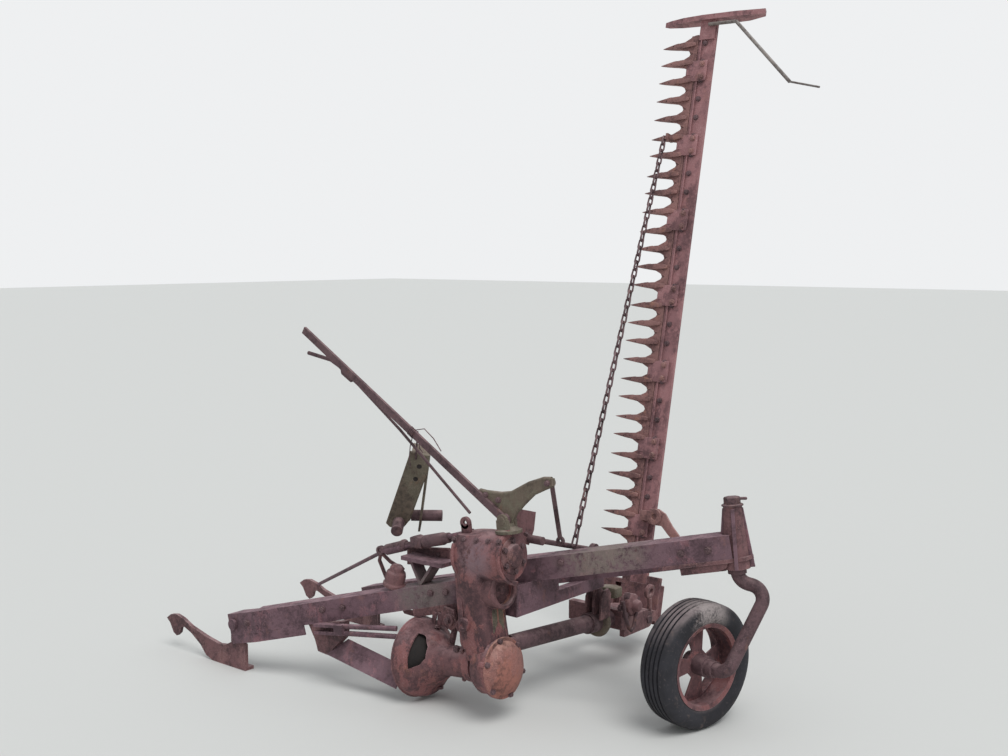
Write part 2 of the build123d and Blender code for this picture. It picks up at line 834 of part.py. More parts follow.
# Linkage above the near beam: tension rod from the far hook, cone and stand

rod_foot = (352, far_front_y - angle_wall - running_gap - hook_thick / 2, 122)
rod_bend = (-453, -260, 468)
tension_rod = rod(rod_foot, rod_bend, 7) + rod(rod_bend, (-900, -260, 611), 8)
tension_rod += rod((-474, -260, 474.7), (-562, -260, 502.9), 16)
tension_rod -= Pos(-far_hook_back, 0, 0) * side_plate(hook_outline, far_front_y, 60)
tension_rod -= case_frame * block((-200, -100, 0), (upper_front, 100, lid_top + 1))
keep("tension_rod", tension_rod)

cone_x = -546.0
cone_r = 34.0
cone_y = near_plan_y(cone_x) - 40
cone_foot = flange_top(cone_x, cone_y, cone_r, near_points) + running_gap
keep("clutch_cone", Pos(cone_x, cone_y, cone_foot) * Cone(cone_r, 20, 84, align=rise_up))

stand_foot_x = -653.0
stand_y = near_plan_y(stand_foot_x) - 40
stand_foot = flange_top(stand_foot_x, stand_y, 0, near_points)
box_stand = block((-770, stand_y - 42, 466), (-580, stand_y + 42, 480))
for x in (-715, -605):
    box_stand += flat((stand_foot_x, stand_y, stand_foot), (x, stand_y, 470), 50, 10)
box_stand -= angle_beam(*near_points)
keep("box_stand", box_stand)

# Cutter bar assembly, laid out lowered and then folded up about the hinge


def folded(shape):
    """Turn a lowered piece up to the parked, folded position."""
    hinge = Pos(0, hinge_y, hinge_z)
    return hinge * Rot(-fold_angle, 0, 0) * hinge.inverse() * shape


def bar_point(x, u, v):
    """A point of the lowered bar: x from its rear edge, u outboard, v above its top."""
    return (bar_rear_x + x, hinge_y - u, hinge_z - bar_drop + v)


def bar_block(low, high):
    """A box in the lowered bar's own directions."""
    a, b = bar_point(*low), bar_point(*high)
    return block([min(p, q) for p, q in zip(a, b)], [max(p, q) for p, q in zip(a, b)])


def bar_outline(points, v, thick):
    """A flat plate lying on the lowered bar: outline in x and u, from v upwards."""
    plan = [bar_point(x, u, 0)[:2] for x, u in points]
    face = make_face(Polyline(*plan, close=True))
    return Pos(0, 0, hinge_z - bar_drop + v) * extrude(Plane.XY * face, thick)


keep("cutter_bar", folded(bar_block((0, bar_start, -bar_thick), (bar_width, bar_end, 0))))

guard_width = 44.0
finger_top = 14.0
finger_low = -20.0
slot_reach = 166.0


def guard(u):
    """One knife guard: a base plate under the bar and a pointed finger with a slot."""
    base = bar_block(
        (18, u - guard_width / 2, -bar_thick - 9), (bar_width + 16, u + guard_width / 2, -bar_thick)
    )
    root = bar_width + 4
    finger = [
        (root, finger_low),
        (root, finger_top - 4),
        (root + 14, finger_top),
        (slot_reach, finger_top - 2),
        (guard_reach - 30, 2),
        (guard_reach, -4),
        (guard_reach - 24, -12),
        (slot_reach - 40, finger_low),
    ]
    outline = [(bar_rear_x + x, hinge_z - bar_drop + v) for x, v in finger]
    blade = side_plate(outline, hinge_y - u + 12, 24)
    taper = bar_outline(
        [(root - 1, u - 13), (root + 40, u - 12), (guard_reach, u - 3), (guard_reach, u + 3),
         (root + 40, u + 12), (root - 1, u + 13)],
        -60,
        120,
    )
    slot = bar_block((root - 10, u - 40, 0), (slot_reach, u + 40, knife_thick + 1.5))
    return base + (blade & taper) - slot


guards = [guard(guard_first + k * guard_pitch) for k in range(guard_count)]
keep("knife_guards", folded(Compound(guards)))

knife_rear = bar_width + 2
section_root = knife_rear + 16
section_tip = knife_rear + 74
knife_outline = [(knife_rear, guard_first - guard_pitch / 2)]
for k in range(guard_count):
    u = guard_first + k * guard_pitch
    knife_outline += [
        (section_root, u - guard_pitch / 2 + 1),
        (section_tip, u - 8),
        (section_tip, u + 8),
        (section_root, u + guard_pitch / 2 - 1),
    ]
knife_outline += [(knife_rear, guard_first + (guard_count - 0.5) * guard_pitch)]
keep("knife", folded(bar_outline(knife_outline, 0, knife_thick)))

clips = []
for k in range(1, guard_count, clip_every):
    u = guard_first + k * guard_pitch + guard_pitch / 2
    foot = bar_block((22, u - 15, 0), (bar_width + 2, u + 15, 7))
    nose = bar_block((bar_width - 6, u - 15, knife_thick + 0.3), (bar_width + 34, u + 15, knife_thick + 7))
    clips.append(foot + nose)
keep("hold_down_clips", folded(Compound(clips)))

shoe_u = bar_end - 6
outer_outline = [
    (-200, -22), (-212, 8), (-90, 22), (60, 26), (150, 20), (215, 6), (250, -6),
    (236, -20), (180, -34), (60, -44), (-120, -44),
]
outer = side_plate(
    [(bar_rear_x + x, hinge_z - bar_drop + v) for x, v in outer_outline], hinge_y - shoe_u - 12.3, 20
)
outer_flange = bar_block((4, bar_end - 70, 0.3), (bar_width - 4, bar_end + 20, 8.3))
keep("outer_shoe", folded(outer + outer_flange))

stick_route = [(30, 2354, 15.6), (-92, 2352, 15), (-355, 2086, 12), (-481, 2054, 12)]
stick_radii = [7, 7, 4]
stick = [
    rod(bar_point(*a), bar_point(*b), radius)
    for a, b, radius in zip(stick_route, stick_route[1:], stick_radii)
]
keep("grass_board", folded(stick[0] + stick[1] + stick[2]))

inner_outline = [
    (-70, -20), (-50, -46), (60, -50), (170, -40), (216, -14), (226, 8), (180, -6), (128, -14),
    (-60, -14),
]
inner_start = -30.0
inner = side_plate(
    [(bar_rear_x + x, hinge_z - bar_drop + v) for x, v in inner_outline], hinge_y - inner_start, 150
)
inner -= bar_block((-40, inner_start + 15, -38), (150, inner_start + 135, 0))
keep("inner_shoe", folded(inner))

lug_x = (bar_rear_x - 60, yoke_front - ear_thick - 14)
lug_front = lug_x[1] - bar_rear_x
hinge_lug = bar_block((-60, -20, -14 + running_gap), (lug_front, 150, 0))
hinge_lug -= bar_block((-running_gap, bar_start - running_gap, -20), (bar_width + running_gap, 200, 5))
riser = block((lug_x[0], hinge_y - 26, hinge_z - bar_drop - 1), (lug_x[1], hinge_y + 14, hinge_z))
barrel = rod((lug_x[0], hinge_y, hinge_z), (lug_x[1], hinge_y, hinge_z), 26)
keep("shoe_hinge", folded(hinge_lug + riser + barrel))
hinge_pins = [
    rod((yoke_rear - 8, hinge_y, hinge_z), (lug_x[0] - running_gap, hinge_y, hinge_z), hinge_pin_r),
    rod((lug_x[1] + running_gap, hinge_y, hinge_z), (yoke_front + 8, hinge_y, hinge_z), hinge_pin_r),
]
keep("hinge_pins", Compound(hinge_pins))

tilt_eye = (-18, 381)
tilt_end = (-123, 318)
tilt_low = 20.0
tilt_high = 32.0
tilt_middle = (tilt_low + tilt_high) / 2
tilt_arm = bar_block((14, 366, running_gap), (44, 396, tilt_high))
for x, u, radius in ((*tilt_eye, 26), (*tilt_end, 16)):
    tilt_arm += rod(bar_point(x, u, tilt_low), bar_point(x, u, tilt_high), radius)
tilt_arm += flat(bar_point(*tilt_eye, tilt_middle), bar_point(*tilt_end, tilt_middle), 26, 12)
tilt_arm += flat(bar_point(*tilt_eye, tilt_middle), bar_point(30, 381, tilt_middle), 28, 12)
tilt_arm -= rod(bar_point(*tilt_eye, 0), bar_point(*tilt_eye, 60), 11)
keep("tilt_arm", folded(tilt_arm))

# Holding chain from a loop round one guard down beside the lift rod

hook_guard = 22
hook_u = guard_first + hook_guard * guard_pitch
chain_x = 160.0
eye_u = hook_u - 11.5
eye_v = 34.0
eye_pin_r = 3.2
cheek_inner = 5.6
cheek_outer = 9.0
chain_loop = bar_block((chain_x - 5, hook_u - 14, -24), (chain_x + 5, hook_u + 14, 19))
chain_loop += bar_block((chain_x - cheek_outer, eye_u - 4.5, 14), (chain_x + cheek_outer, eye_u + 4.5, 19))
chain_loop -= bar_block((chain_x - 10, hook_u - 10.5, -18.5), (chain_x + 10, hook_u + 10.5, 13))
for low, high in ((-cheek_outer, -cheek_inner), (cheek_inner, cheek_outer)):
    chain_loop += bar_block((chain_x + low, eye_u - 4.5, 15), (chain_x + high, eye_u + 4.5, eye_v + 5))
eye_ends = [bar_point(chain_x + side * cheek_outer, eye_u, eye_v) for side in (-1, 1)]
chain_loop += rod(*eye_ends, eye_pin_r)
keep("chain_hook", folded(chain_loop))

chain_wire = 6.0
chain_half_width = 10.5
chain_corner = 6.0
link_count = 52
link_play = 0.4
eye_play = 1.2
chain_eye = folded(Pos(*bar_point(chain_x, eye_u, eye_v))).position
chain_end = Vector(-1126, -491, 556)
chain_way = (chain_end - chain_eye).normalized()
chain_start = chain_eye - chain_way * (chain_wire + eye_pin_r + eye_play)
chain_run = chain_end - chain_start
chain_pitch = chain_run.length / link_count


def ring_outline(half_length, half_width, corner):
    """An eight-sided outline of one chain link."""
    return [
        (half_length - corner, -half_width),
        (half_length, -half_width + corner),
        (half_length, half_width - corner),
        (half_length - corner, half_width),
        (corner - half_length, half_width),
        (-half_length, half_width - corner),
        (-half_length, corner - half_width),
        (corner - half_length, -half_width),
    ]


half_inner = (chain_pitch + link_play) / 2
eye_half = chain_half_width - chain_wire
outer_ring = ring_outline(half_inner + chain_wire, chain_half_width, chain_corner)
inner_ring = [
    (half_inner, -eye_half),
    (half_inner, eye_half),
    (-half_inner, eye_half),
    (-half_inner, -eye_half),
]
ring = make_face(Polyline(*outer_ring, close=True))
ring -= make_face(Polyline(*inner_ring, close=True))
link_solid = Pos(0, 0, -chain_wire / 2) * extrude(ring, chain_wire)
square_to_run = Vector(1, 0, 0).cross(chain_run).cross(chain_run)
chain_frame = Plane(origin=chain_start, x_dir=chain_run, z_dir=square_to_run)
chain_links = []
for k in range(link_count):
    place = Pos(half_inner + chain_wire + k * chain_pitch, 0, 0) * Rot(90 * (k % 2), 0, 0)
    chain_links.append(chain_frame * place * link_solid)
keep("hold_chain", Compound(chain_links))
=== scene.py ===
import math
import random
import bpy
from mathutils import Matrix, Vector


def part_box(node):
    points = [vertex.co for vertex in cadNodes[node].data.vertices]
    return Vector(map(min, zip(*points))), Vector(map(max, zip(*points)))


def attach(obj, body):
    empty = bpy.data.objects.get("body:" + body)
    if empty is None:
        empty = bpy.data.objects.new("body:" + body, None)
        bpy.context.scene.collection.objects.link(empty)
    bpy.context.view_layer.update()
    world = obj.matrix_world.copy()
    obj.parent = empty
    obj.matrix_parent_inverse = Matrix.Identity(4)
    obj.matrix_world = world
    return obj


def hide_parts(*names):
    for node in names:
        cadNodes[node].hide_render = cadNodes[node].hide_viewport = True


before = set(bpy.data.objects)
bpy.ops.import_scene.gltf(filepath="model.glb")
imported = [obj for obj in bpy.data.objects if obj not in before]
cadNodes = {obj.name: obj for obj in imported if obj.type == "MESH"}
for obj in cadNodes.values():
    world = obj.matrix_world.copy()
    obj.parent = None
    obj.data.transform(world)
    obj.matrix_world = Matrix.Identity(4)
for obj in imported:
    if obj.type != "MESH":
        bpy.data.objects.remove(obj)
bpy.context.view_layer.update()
print("loaded", len(cadNodes), "frame pieces")


# shader wiring

class Wire:
    def __init__(self, finish, socket):
        self.finish = finish
        self.socket = socket

    def maths(self, operation, first, second):
        made = self.finish.add("Math", {"operation": operation}, {0: first, 1: second})
        return Wire(self.finish, made.outputs[0])

    def __add__(self, other):
        return self.maths("ADD", self, other)

    def __radd__(self, other):
        return self.maths("ADD", other, self)

    def __sub__(self, other):
        return self.maths("SUBTRACT", self, other)

    def __rsub__(self, other):
        return self.maths("SUBTRACT", other, self)

    def __mul__(self, other):
        return self.maths("MULTIPLY", self, other)

    def __rmul__(self, other):
        return self.maths("MULTIPLY", other, self)


class Finish:
    def __init__(self, name):
        self.material = bpy.data.materials.new(name)
        self.material.use_nodes = True
        self.nodes = self.material.node_tree.nodes
        self.links = self.material.node_tree.links
        self.shader = self.nodes["Principled BSDF"]
        self.space = self.add("TexCoord").outputs["Object"]
        self.facing = self.add("NewGeometry").outputs["Normal"]

    def add(self, kind, settings=None, sockets=None):
        made = self.nodes.new("ShaderNode" + kind)
        for key, value in (settings or {}).items():
            setattr(made, key, value)
        for key, value in (sockets or {}).items():
            self.feed(made.inputs[key], value)
        return made

    def feed(self, socket, value):
        if isinstance(value, Wire):
            value = value.socket
        if isinstance(value, bpy.types.NodeSocket):
            self.links.new(value, socket)
        else:
            socket.default_value = value

    def noise(self, scale, detail=4.0, rough=0.6, stretch=(1, 1, 1), shift=0.0):
        spot = {"Vector": self.space, "Scale": stretch, "Location": (shift, 0.7 * shift, -shift)}
        mapped = self.add("Mapping", None, spot).outputs["Vector"]
        sockets = {"Vector": mapped, "Scale": scale, "Detail": detail, "Roughness": rough}
        return Wire(self, self.add("TexNoise", None, sockets).outputs[0])

    def cells(self, scale):
        sockets = {"Vector": self.space, "Scale": scale}
        return Wire(self, self.add("TexVoronoi", None, sockets).outputs["Distance"])

    def ramp(self, value, low, high):
        settings = {"interpolation_type": "SMOOTHSTEP"}
        sockets = {"Value": value, "From Min": low, "From Max": high}
        return Wire(self, self.add("MapRange", settings, sockets).outputs["Result"])

    def mix(self, mask, first, second):
        sockets = {0: mask, 6: first, 7: second}
        return self.add("Mix", {"data_type": "RGBA"}, sockets).outputs[2]

    def edges(self, width):
        rounded = self.add("Bevel", {"samples": 4}, {"Radius": width}).outputs["Normal"]
        dot = self.add("VectorMath", {"operation": "DOT_PRODUCT"}, {0: rounded, 1: self.facing})
        return self.ramp(1 - Wire(self, dot.outputs["Value"]), 0.01, 0.16)

    def near(self, centre, reach):
        away = self.add("VectorMath", {"operation": "DISTANCE"}, {0: self.space, 1: centre})
        return self.ramp(Wire(self, away.outputs["Value"]), reach, reach * 0.35)

    # mask of faces turned up in world space; the finishes use it for dust together with a painted sky
    # sheen on the tops
    def upward(self):
        up = self.add("SeparateXYZ", None, {"Vector": self.facing}).outputs["Z"]
        return self.ramp(Wire(self, up), 0.35, 0.95)

    def bump(self, height, depth, strength=0.6):
        sockets = {"Height": height, "Distance": depth, "Strength": strength}
        made = self.add("Bump", None, sockets)
        self.feed(self.shader.inputs["Normal"], made.outputs["Normal"])


def tone(red, green, blue):
    return (red, green, blue, 1.0)


rustLooks = {
    "beamRust": {
        "dark": tone(0.068, 0.036, 0.045), "mid": tone(0.165, 0.092, 0.112),
        "light": tone(0.34, 0.21, 0.235), "orange": tone(0.33, 0.14, 0.09),
        "paint": tone(0.26, 0.105, 0.12), "paintShare": 0.25, "orangeShare": 0.35,
        "grain": 55, "edge": 0.0022, "depth": 0.0016,
        "patches": [((-0.033, 0.58, 0.36), 0.15, tone(0.155, 0.13, 0.12)),
                    ((-0.62, 0.38, 0.60), 0.22, tone(0.20, 0.165, 0.14))],
    },
    "castingRust": {
        "dark": tone(0.060, 0.029, 0.033), "mid": tone(0.18, 0.086, 0.09),
        "light": tone(0.40, 0.27, 0.27), "orange": tone(0.28, 0.125, 0.085),
        "paint": tone(0.22, 0.10, 0.095), "paintShare": 0.35, "orangeShare": 0.3,
        "grain": 80, "edge": 0.003, "depth": 0.002, "patches": [],
    },
    "caseRed": {
        "dark": tone(0.062, 0.029, 0.034), "mid": tone(0.165, 0.078, 0.082),
        "light": tone(0.38, 0.23, 0.235), "orange": tone(0.36, 0.15, 0.085),
        "paint": tone(0.27, 0.095, 0.09), "paintShare": 0.5, "orangeShare": 0.35,
        "grain": 70, "edge": 0.003, "depth": 0.0018,
        "patches": [((-0.425, 0.60, 0.36), 0.07, tone(0.42, 0.19, 0.10)),
                    ((-0.36, 0.69, 0.55), 0.09, tone(0.20, 0.13, 0.15))],
    },
    "capOrange": {
        "dark": tone(0.085, 0.04, 0.036), "mid": tone(0.33, 0.135, 0.105),
        "light": tone(0.58, 0.33, 0.27), "orange": tone(0.52, 0.22, 0.12),
        "paint": tone(0.25, 0.11, 0.10), "paintShare": 0.5, "orangeShare": 0.7,
        "grain": 60, "edge": 0.003, "depth": 0.0018, "patches": [],
    },
    # the cutter bar's pale tone is set bright so that the paler tops also paint the highlight along the
    # bar's top
    "barRed": {
        "dark": tone(0.125, 0.060, 0.066), "mid": tone(0.28, 0.135, 0.142),
        "light": tone(0.58, 0.37, 0.37), "orange": tone(0.42, 0.19, 0.13),
        "paint": tone(0.36, 0.165, 0.17), "paintShare": 0.6, "orangeShare": 0.25,
        "grain": 60, "edge": 0.0022, "depth": 0.0013, "patches": [],
    },
    "guardRust": {
        "dark": tone(0.11, 0.052, 0.052), "mid": tone(0.27, 0.135, 0.125),
        "light": tone(0.54, 0.35, 0.32), "orange": tone(0.46, 0.21, 0.125),
        "paint": tone(0.33, 0.145, 0.13), "paintShare": 0.3, "orangeShare": 0.5,
        "grain": 95, "edge": 0.002, "depth": 0.0012, "patches": [],
    },
    "oldGreen": {
        "dark": tone(0.058, 0.044, 0.034), "mid": tone(0.145, 0.11, 0.082),
        "light": tone(0.33, 0.27, 0.225), "orange": tone(0.26, 0.125, 0.075),
        "paint": tone(0.135, 0.12, 0.08), "paintShare": 0.5, "orangeShare": 0.45,
        "grain": 65, "edge": 0.0025, "depth": 0.0015, "patches": [],
    },
    "darkSteel": {
        "dark": tone(0.045, 0.024, 0.028), "mid": tone(0.125, 0.070, 0.078),
        "light": tone(0.29, 0.19, 0.19), "orange": tone(0.28, 0.12, 0.075),
        "paint": tone(0.14, 0.078, 0.085), "paintShare": 0.2, "orangeShare": 0.35,
        "grain": 75, "edge": 0.002, "depth": 0.0014, "patches": [],
    },
    "wornSteel": {
        "dark": tone(0.10, 0.075, 0.07), "mid": tone(0.27, 0.245, 0.23),
        "light": tone(0.46, 0.44, 0.41), "orange": tone(0.28, 0.16, 0.11),
        "paint": tone(0.22, 0.17, 0.15), "paintShare": 0.3, "orangeShare": 0.4,
        "grain": 90, "edge": 0.0015, "depth": 0.0008, "patches": [],
    },
}


def rusted(name, look):
    finish = Finish(name)
    blotch = finish.noise(7.0, 5.0, 0.62)
    grain = finish.noise(look["grain"], 6.0, 0.72)
    fine = finish.noise(look["grain"] * 4.5, 3.0, 0.6, shift=3.0)
    runs = finish.noise(16.0, 4.0, 0.6, (1, 1, 0.22), 5.0)
    flakes = finish.noise(11.0, 6.0, 0.75, (1, 1, 0.6), 9.0)
    pits = finish.cells(look["grain"] * 2.2)
    colour = finish.mix(finish.ramp(blotch * 0.55 + grain * 0.45, 0.40, 0.58), look["dark"], look["mid"])
    colour = finish.mix(finish.ramp(runs, 0.50, 0.72) * 0.55, colour, look["mid"])
    paintMask = finish.ramp(flakes, 0.60 - 0.2 * look["paintShare"], 0.66 - 0.2 * look["paintShare"])
    colour = finish.mix(paintMask * (0.35 + 0.5 * look["paintShare"]), colour, look["paint"])
    rustMask = finish.ramp(finish.noise(19.0, 6.0, 0.7, (1, 1, 0.7), 13.0), 0.56, 0.74)
    colour = finish.mix(rustMask * look["orangeShare"], colour, look["orange"])
    # paler on faces turned up: partly real dust, partly a painted sheen of sky light on the tops
    dustAndSheen = finish.upward() * finish.ramp(finish.noise(26.0, 5.0, 0.65, shift=17.0), 0.32, 0.68)
    colour = finish.mix(dustAndSheen * 0.75, colour, look["light"])
    for centre, reach, patchTone in look["patches"]:
        colour = finish.mix(finish.near(centre, reach) * finish.ramp(flakes + grain, 0.85, 1.1) * 0.85,
                            colour, patchTone)
    worn = finish.edges(look["edge"]) * finish.ramp(grain, 0.38, 0.6)
    colour = finish.mix(worn * 0.7, colour, look["light"])
    colour = finish.mix(finish.ramp(fine * 0.6 + flakes * 0.4, 0.52, 0.68) * 0.42, colour, look["light"])
    colour = finish.mix(finish.ramp(pits, 0.26, 0.08) * 0.45, colour, look["dark"])
    finish.feed(finish.shader.inputs["Base Color"], colour)
    finish.feed(finish.shader.inputs["Roughness"], 0.62 + grain * 0.3 - paintMask * 0.12)
    finish.feed(finish.shader.inputs["Metallic"], 0.12)
    finish.bump(grain * 0.55 + fine * 0.25 + flakes * 0.35 - finish.ramp(pits, 0.3, 0.05) * 0.3,
                look["depth"])
    return finish.material


finishes = {name: rusted(name, look) for name, look in rustLooks.items()}
# near-black finish that paints shade into hollows: the inside of the bell, the yoke holes and the guard
# dimples
paintedShadeLook = dict(rustLooks["darkSteel"], dark=tone(0.008, 0.006, 0.006), mid=tone(0.018, 0.013, 0.012),
                light=tone(0.03, 0.022, 0.02), paint=tone(0.02, 0.014, 0.013),
                orange=tone(0.04, 0.02, 0.015))
finishes["paintedShade"] = rusted("paintedShade", paintedShadeLook)

rubberLook = {
    "black": tone(0.011, 0.010, 0.014), "grey": tone(0.028, 0.027, 0.034),
    "pale": tone(0.36, 0.31, 0.30), "dustAndSheen": tone(0.24, 0.19, 0.19), "mud": tone(0.17, 0.12, 0.105),
    "scuffAt": (-0.965, 0.262, 0.375), "scuffReach": 0.11,
}


def rubber(name, look):
    finish = Finish(name)
    broad = finish.noise(8.0, 5.0, 0.6)
    fine = finish.noise(120.0, 4.0, 0.65, shift=2.0)
    colour = finish.mix(finish.ramp(broad, 0.35, 0.7), look["black"], look["grey"])
    # paler on faces turned up: partly dust on the rubber, partly a painted sky sheen on the tyre's top
    powderAndSheen = finish.upward() * finish.ramp(finish.noise(14.0, 5.0, 0.6, shift=6.0), 0.25, 0.62)
    colour = finish.mix(powderAndSheen * 0.85, colour, look["dustAndSheen"])
    mud = finish.ramp(finish.noise(22.0, 6.0, 0.7, shift=11.0), 0.56, 0.7)
    colour = finish.mix(mud * 0.35, colour, look["mud"])
    colour = finish.mix(finish.ramp(fine, 0.55, 0.8) * 0.25, colour, look["dustAndSheen"])
    rubbed = finish.ramp(fine * 0.4 + broad * 0.6, 0.38, 0.58)
    scuff = finish.near(look["scuffAt"], look["scuffReach"]) * rubbed
    colour = finish.mix(scuff * 0.85, colour, look["pale"])
    finish.feed(finish.shader.inputs["Base Color"], colour)
    finish.feed(finish.shader.inputs["Roughness"], 0.68 + broad * 0.22)
    finish.bump(fine * 0.4 + broad * 0.6, 0.0012, 0.5)
    return finish.material


finishes["dustyRubber"] = rubber("dustyRubber", rubberLook)
print("materials made", len(finishes))

nodeFinishes = {
    "beamRust": ["near_beam", "far_beam", "front_strap", "hitch_pins", "cross_arm", "brace_plate",
                 "brace_rods", "box_stand", "tension_rod"],
    "castingRust": ["caster_head", "near_hook", "far_hook", "hitch_bracket", "case_clamp", "clutch_cone",
                    "post_cap", "tube_yoke", "lever_guard", "inner_shoe", "shoe_hinge", "upper_cap"],
    "caseRed": ["gear_case", "bell_shield", "case_lid", "bearing_core", "wheel_rim"],
    "capOrange": ["lower_cap"],
    "barRed": ["cutter_bar", "outer_shoe", "hold_down_clips"],
    "guardRust": ["knife_guards", "hold_chain", "chain_hook", "tilt_arm", "knife"],
    "oldGreen": ["lever_crank", "hanging_yoke", "lever_stand"],
    "darkSteel": ["hand_lever", "latch_grip", "latch_rod", "drop_link", "yoke_pins", "hanger_wire",
                  "lift_rod", "hinge_pins", "caster_arm", "wheel_hub", "input_shaft", "drag_tube"],
    "wornSteel": ["grass_board"],
    "dustyRubber": ["tyre"],
}


def coat(piece, finishName):
    piece.data.materials.clear()
    piece.data.materials.append(finishes[finishName])


for finishName, names in nodeFinishes.items():
    for name in names:
        coat(cadNodes[name], finishName)

# where the machine's own parts lie: millimetres from the near hitch hook, as the pieces are given

shopSpace = Matrix.Translation((0.632, 0.842, 0.0)) @ Matrix.Scale(0.001, 4)
framePitch = math.radians(6.0)
foldAngle = math.radians(-77.8)
wheelTurn = math.radians(12.0)
caseSpace = shopSpace @ Matrix.Translation((-1040, -220, 180)) @ Matrix.Rotation(framePitch, 4, "Y")
hingeSpot = Matrix.Translation((-967, -1060, 150))
barSpace = shopSpace @ hingeSpot @ Matrix.Rotation(foldAngle, 4, "X") @ Matrix.Translation((0, 0, -99))
wheelAcross = Vector((math.sin(wheelTurn), math.cos(wheelTurn), 0))
wheelOut = Vector((-math.cos(wheelTurn), math.sin(wheelTurn), 0))


def spaceFrom(origin, xWay, zWay):
    zWay = Vector(zWay).normalized()
    xWay = Vector(xWay) - zWay * zWay.dot(Vector(xWay))
    xWay.normalize()
    yWay = zWay.cross(xWay)
    turned = Matrix((xWay, yWay, zWay)).transposed().to_4x4()
    return shopSpace @ Matrix.Translation(origin) @ turned


wheelSpace = spaceFrom((-1540, -592, 207), wheelAcross, wheelOut)
yokeTilt = math.radians(20.0)
yokeSpace = spaceFrom((-631, -262, 841), (-0.8, -0.6, 0),
                      (-0.6 * math.cos(yokeTilt), 0.8 * math.cos(yokeTilt), -math.sin(yokeTilt)))


# modelling helpers

def clearChoice():
    if bpy.context.object and bpy.context.object.mode != "OBJECT":
        bpy.ops.object.mode_set(mode="OBJECT")
    bpy.ops.object.select_all(action="DESELECT")


def pickFaces(test):
    bpy.ops.mesh.select_mode(type="FACE")
    bpy.ops.mesh.select_all(action="DESELECT")
    bpy.ops.object.mode_set(mode="OBJECT")
    for face in bpy.context.object.data.polygons:
        face.select = bool(test(face))
    bpy.ops.object.mode_set(mode="EDIT")


def drawLine(points, closed=False):
    # one vertex, drawn out from point to point
    clearChoice()
    bpy.ops.mesh.primitive_circle_add(vertices=3, radius=0.01, location=points[0])
    bpy.ops.object.mode_set(mode="EDIT")
    bpy.ops.mesh.select_mode(type="VERT")
    bpy.ops.mesh.select_all(action="SELECT")
    bpy.ops.mesh.merge(type="CENTER")
    for start, end in zip(points, points[1:]):
        step = Vector(end) - Vector(start)
        bpy.ops.mesh.extrude_vertices_move(TRANSFORM_OT_translate={"value": step})
    bpy.ops.mesh.select_all(action="SELECT")
    if closed:
        bpy.ops.mesh.edge_face_add()
    return bpy.context.object


def drawPlate(outline, low, high, bevelWidth=0.0):
    # a flat outline in X and Y, pushed up from one height to another
    made = drawLine([(x, y, low) for x, y in outline], closed=True)
    bpy.ops.mesh.extrude_region_move(TRANSFORM_OT_translate={"value": (0, 0, high - low)})
    return closeUp(made, bevelWidth)


def turnProfile(profile, steps, bevelWidth=0.0):
    # a profile of radius and height, turned round Z
    made = drawLine([(radius, 0, height) for radius, height in profile])
    bpy.ops.mesh.spin(steps=steps, angle=2 * math.pi, center=(0, 0, 0), axis=(0, 0, 1))
    return closeUp(made, bevelWidth)


def turnPart(outline, steps, angle, bevelWidth=0.0):
    # a closed outline of radius and height, turned part of the way round Z from the X side
    made = drawLine([(radius, 0, height) for radius, height in outline], closed=True)
    bpy.ops.mesh.spin(steps=steps, angle=math.radians(angle), center=(0, 0, 0), axis=(0, 0, 1))
    bpy.ops.mesh.select_all(action="SELECT")
    bpy.ops.mesh.remove_doubles(threshold=0.01)
    return closeUp(made, bevelWidth)


def ringBoss(outer, bore, low, high, bevelWidth=1.0):
    # a short round boss with a hole, from a turned section
    return turnProfile([(bore, low), (outer, low), (outer, high), (bore, high), (bore, low)], 24,
                       bevelWidth)


def closeUp(made, bevelWidth=0.0, smooth=35):
    bpy.ops.mesh.select_all(action="SELECT")
    bpy.ops.mesh.remove_doubles(threshold=0.01)
    bpy.ops.mesh.normals_make_consistent(inside=False)
    bpy.ops.object.mode_set(mode="OBJECT")
    bpy.ops.object.transform_apply(location=True, rotation=True, scale=True)
    if bevelWidth:
        worn = made.modifiers.new("wornEdges", "BEVEL")
        worn.width = bevelWidth
        worn.segments = 2
        worn.limit_method = "ANGLE"
        bpy.ops.object.modifier_apply(modifier=worn.name)
    bpy.ops.object.shade_smooth_by_angle(angle=math.radians(smooth))
    return made


def drawOut(sections, bevelWidth=0.0):
    # a bar along X with sections (x, y middle, half width, low, high)
    x, y, half, low, high = sections[0]
    corners = [(x, y - half, low), (x, y + half, low), (x, y + half, high), (x, y - half, high)]
    made = drawLine(corners, closed=True)
    for old, new in zip(sections, sections[1:]):
        shift = (new[0] - old[0], new[1] - old[1], (new[3] + new[4] - old[3] - old[4]) / 2)
        bpy.ops.mesh.extrude_region_move(TRANSFORM_OT_translate={"value": shift})
        middle = (new[0], new[1], (new[3] + new[4]) / 2)
        grow = (1, new[2] / old[2], (new[4] - new[3]) / (old[4] - old[3]))
        bpy.ops.transform.resize(value=grow, center_override=middle)
    return closeUp(made, bevelWidth)


def drawColumn(outline, middle, levels, bevelWidth=0.0):
    # a flat outline carried up through levels (height, growth in X, growth in Y)
    made = drawLine([(x, y, levels[0][0]) for x, y in outline], closed=True)
    for old, new in zip(levels, levels[1:]):
        bpy.ops.mesh.extrude_region_move(TRANSFORM_OT_translate={"value": (0, 0, new[0] - old[0])})
        bpy.ops.transform.resize(value=(new[1] / old[1], new[2] / old[2], 1),
                                 center_override=(*middle, new[0]))
    return closeUp(made, bevelWidth)


